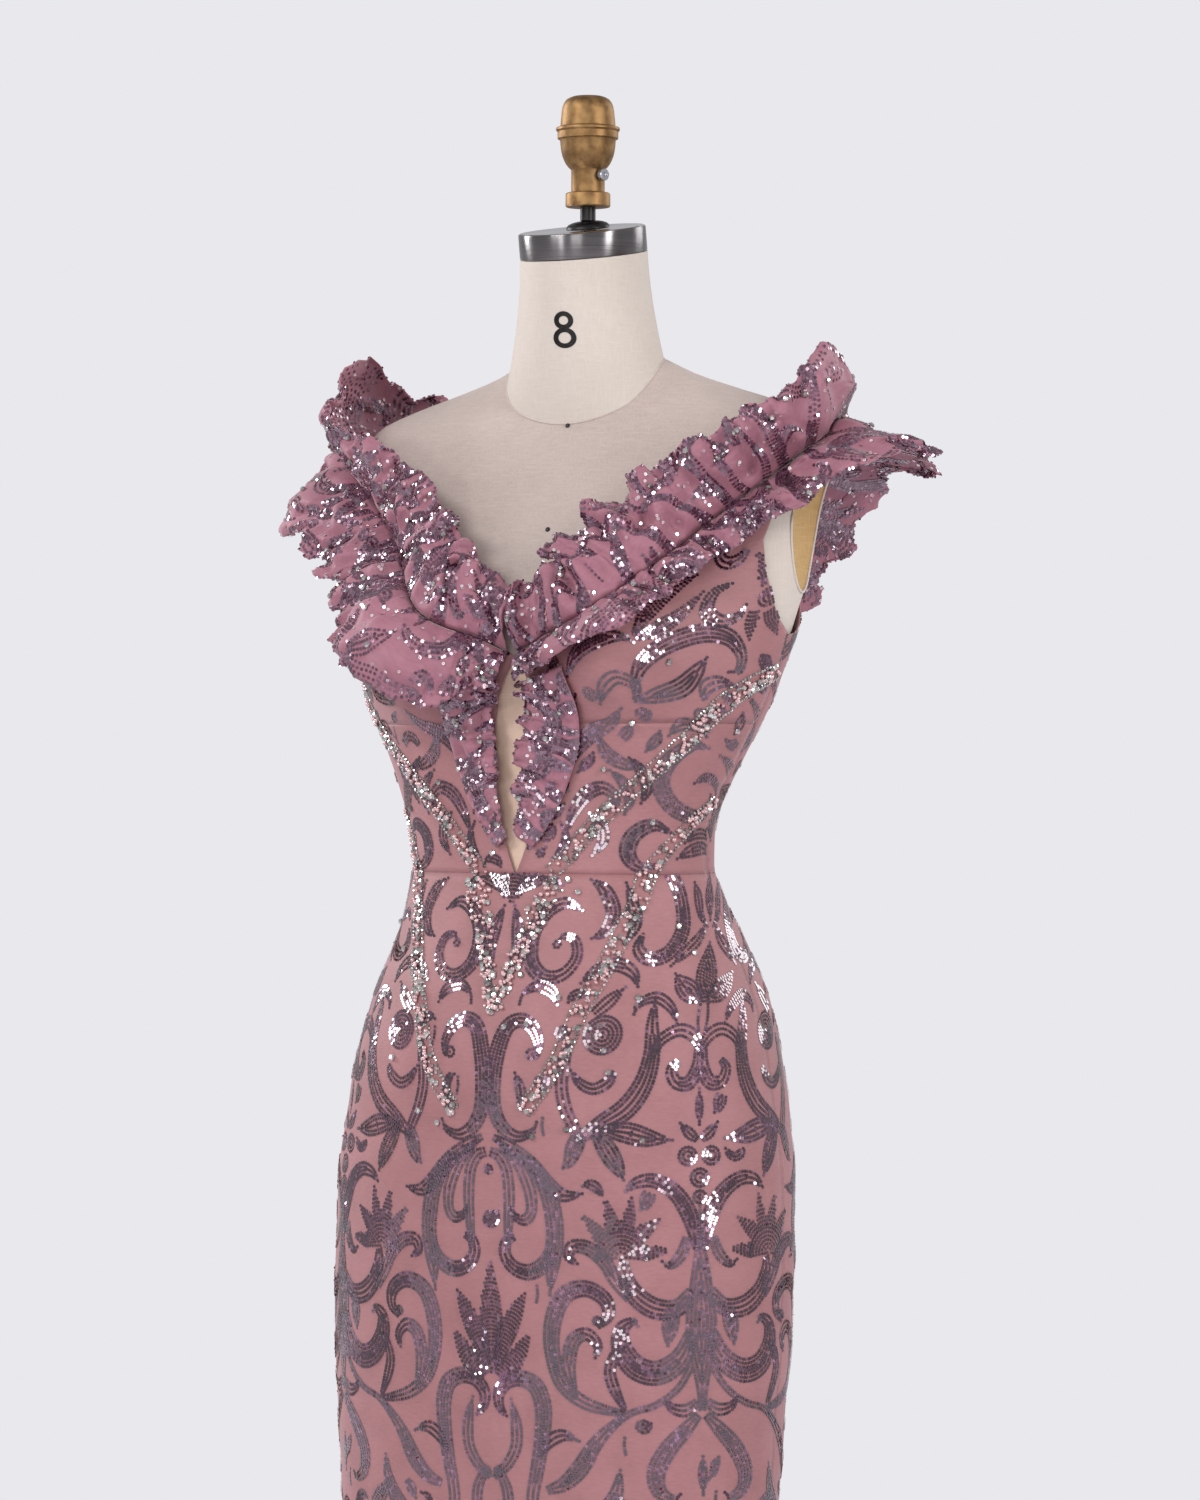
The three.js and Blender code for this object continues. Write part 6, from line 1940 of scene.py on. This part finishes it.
@dataclass
class Studio:
    """Plain pale floor, soft lights and the camera at the photograph's angle."""

    azimuth: float = 27.0
    distance: float = 4.0
    level: float = 1.174
    side_shift: float = 0.02615
    lens: float = 124.8
    backdrop: str = "#e9e8ed"

    def build(self) -> None:
        """Makes the world, floor, lights and camera."""
        scene = bpy.context.scene
        scene.view_settings.view_transform = "Standard"
        self.world(scene)
        self.floor()
        for name, place, target, size, power in (
            ("key_softbox", (-1.5, -3.5, 3.9), (0, 0, 1.1), (1.7, 1.2), 88),
            ("left_softbox", (-3.4, 0.2, 2.5), (0, 0, 1.1), (0.8, 1.5), 58),
            ("right_softbox", (3.4, -0.9, 2.4), (0, 0, 1.05), (0.7, 2.2), 66),
            ("front_softbox", (1.2, -4.3, 2.2), (0, 0, 1.1), (1.5, 1.4), 36),
            ("low_softbox", (-0.9, -4.2, 1.5), (0, 0, 1.05), (0.5, 0.5), 16),
            ("back_softbox", (1.6, 3.2, 2.6), (0, 0, 1.2), (1.6, 1.6), 30),
        ):
            self.light(name, place, target, size, power)
        turn = math.radians(self.azimuth)
        camera = linked("camera", bpy.data.cameras.new("camera"))
        camera.data.sensor_fit = "VERTICAL"
        camera.data.sensor_height = 36.0
        camera.data.lens = self.lens
        camera.location = (self.distance * math.sin(turn) + self.side_shift * math.cos(turn),
                           -self.distance * math.cos(turn) + self.side_shift * math.sin(turn), self.level)
        camera.rotation_euler = (math.pi / 2, 0, turn)
        scene.camera = camera

    def world(self, scene: bpy.types.Scene) -> None:
        """Lights softly from all round, and shows the pale backdrop to the camera."""
        world = bpy.data.worlds.new("studio")
        world.use_nodes = True
        scene.world = world
        tree = world.node_tree
        tree.nodes.clear()
        seen = add_node(tree, "ShaderNodeLightPath").outputs["Is Camera Ray"]
        soft = add_node(tree, "ShaderNodeBackground", inputs={0: linear("#e8e6ea"), 1: 0.56})
        shown = add_node(tree, "ShaderNodeBackground", inputs={0: linear(self.backdrop), 1: 1.0})
        mixed = add_node(tree, "ShaderNodeMixShader",
                         inputs={0: seen, 1: soft.outputs[0], 2: shown.outputs[0]})
        add_node(tree, "ShaderNodeOutputWorld", inputs={0: mixed.outputs[0]})

    def floor(self) -> None:
        """Makes the floor, a disc that ends outside the main view."""
        material, tree, shader = new_finish("pale_floor")
        wire(tree, shader, {"Base Color": linear("#dcdae0"), "Roughness": 0.8})
        turns = round_turns(96)
        ring = np.stack([3500 * np.cos(turns), 3500 * np.sin(turns), 0 * turns - 0.5], -1)
        mesh_object("floor", ring, [list(range(96))], material, smooth=False)

    def light(self, name: str, place: Sequence[float], target: Sequence[float], size: tuple[float, float],
              power: float) -> None:
        """Adds a softbox that looks at a target."""
        data = bpy.data.lights.new(name, "AREA")
        data.shape = "RECTANGLE"
        (data.size, data.size_y), data.energy = size, power
        lamp = linked(name, data)
        lamp.location = place
        x, y, z = (t - p for t, p in zip(target, place))
        lamp.rotation_euler = (math.acos(-z / math.sqrt(x * x + y * y + z * z)), 0, math.atan2(-x, y))


def main() -> None:
    """Builds the scene in order."""
    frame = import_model()
    finishes = Finishes()
    embroidery = Embroidery()
    sequins = Scatter(Shape.SEQUIN, 0.05)
    loose = Scatter(Shape.SEQUIN, 0.35)
    stones = Scatter(Shape.STONE, 0.22)
    pearls = Scatter(Shape.PEARL, 0.05)
    teeth = Scatter(Shape.TOOTH, 0.0)
    LOG.info("embroidery: %d sequins a tile", len(embroidery.places))
    DressForm(finishes).build()
    Gown(finishes, embroidery, sequins).build()
    Ruffles(finishes, embroidery, sequins, loose, stones).build()
    Beading(finishes, stones, pearls).build()
    BackZip(finishes, teeth, frame["nodes"]).build()
    for tool in (sequins, loose, stones, pearls, teeth):
        tool.clear()
    Studio().build()


if __name__ == "__main__":
    main()
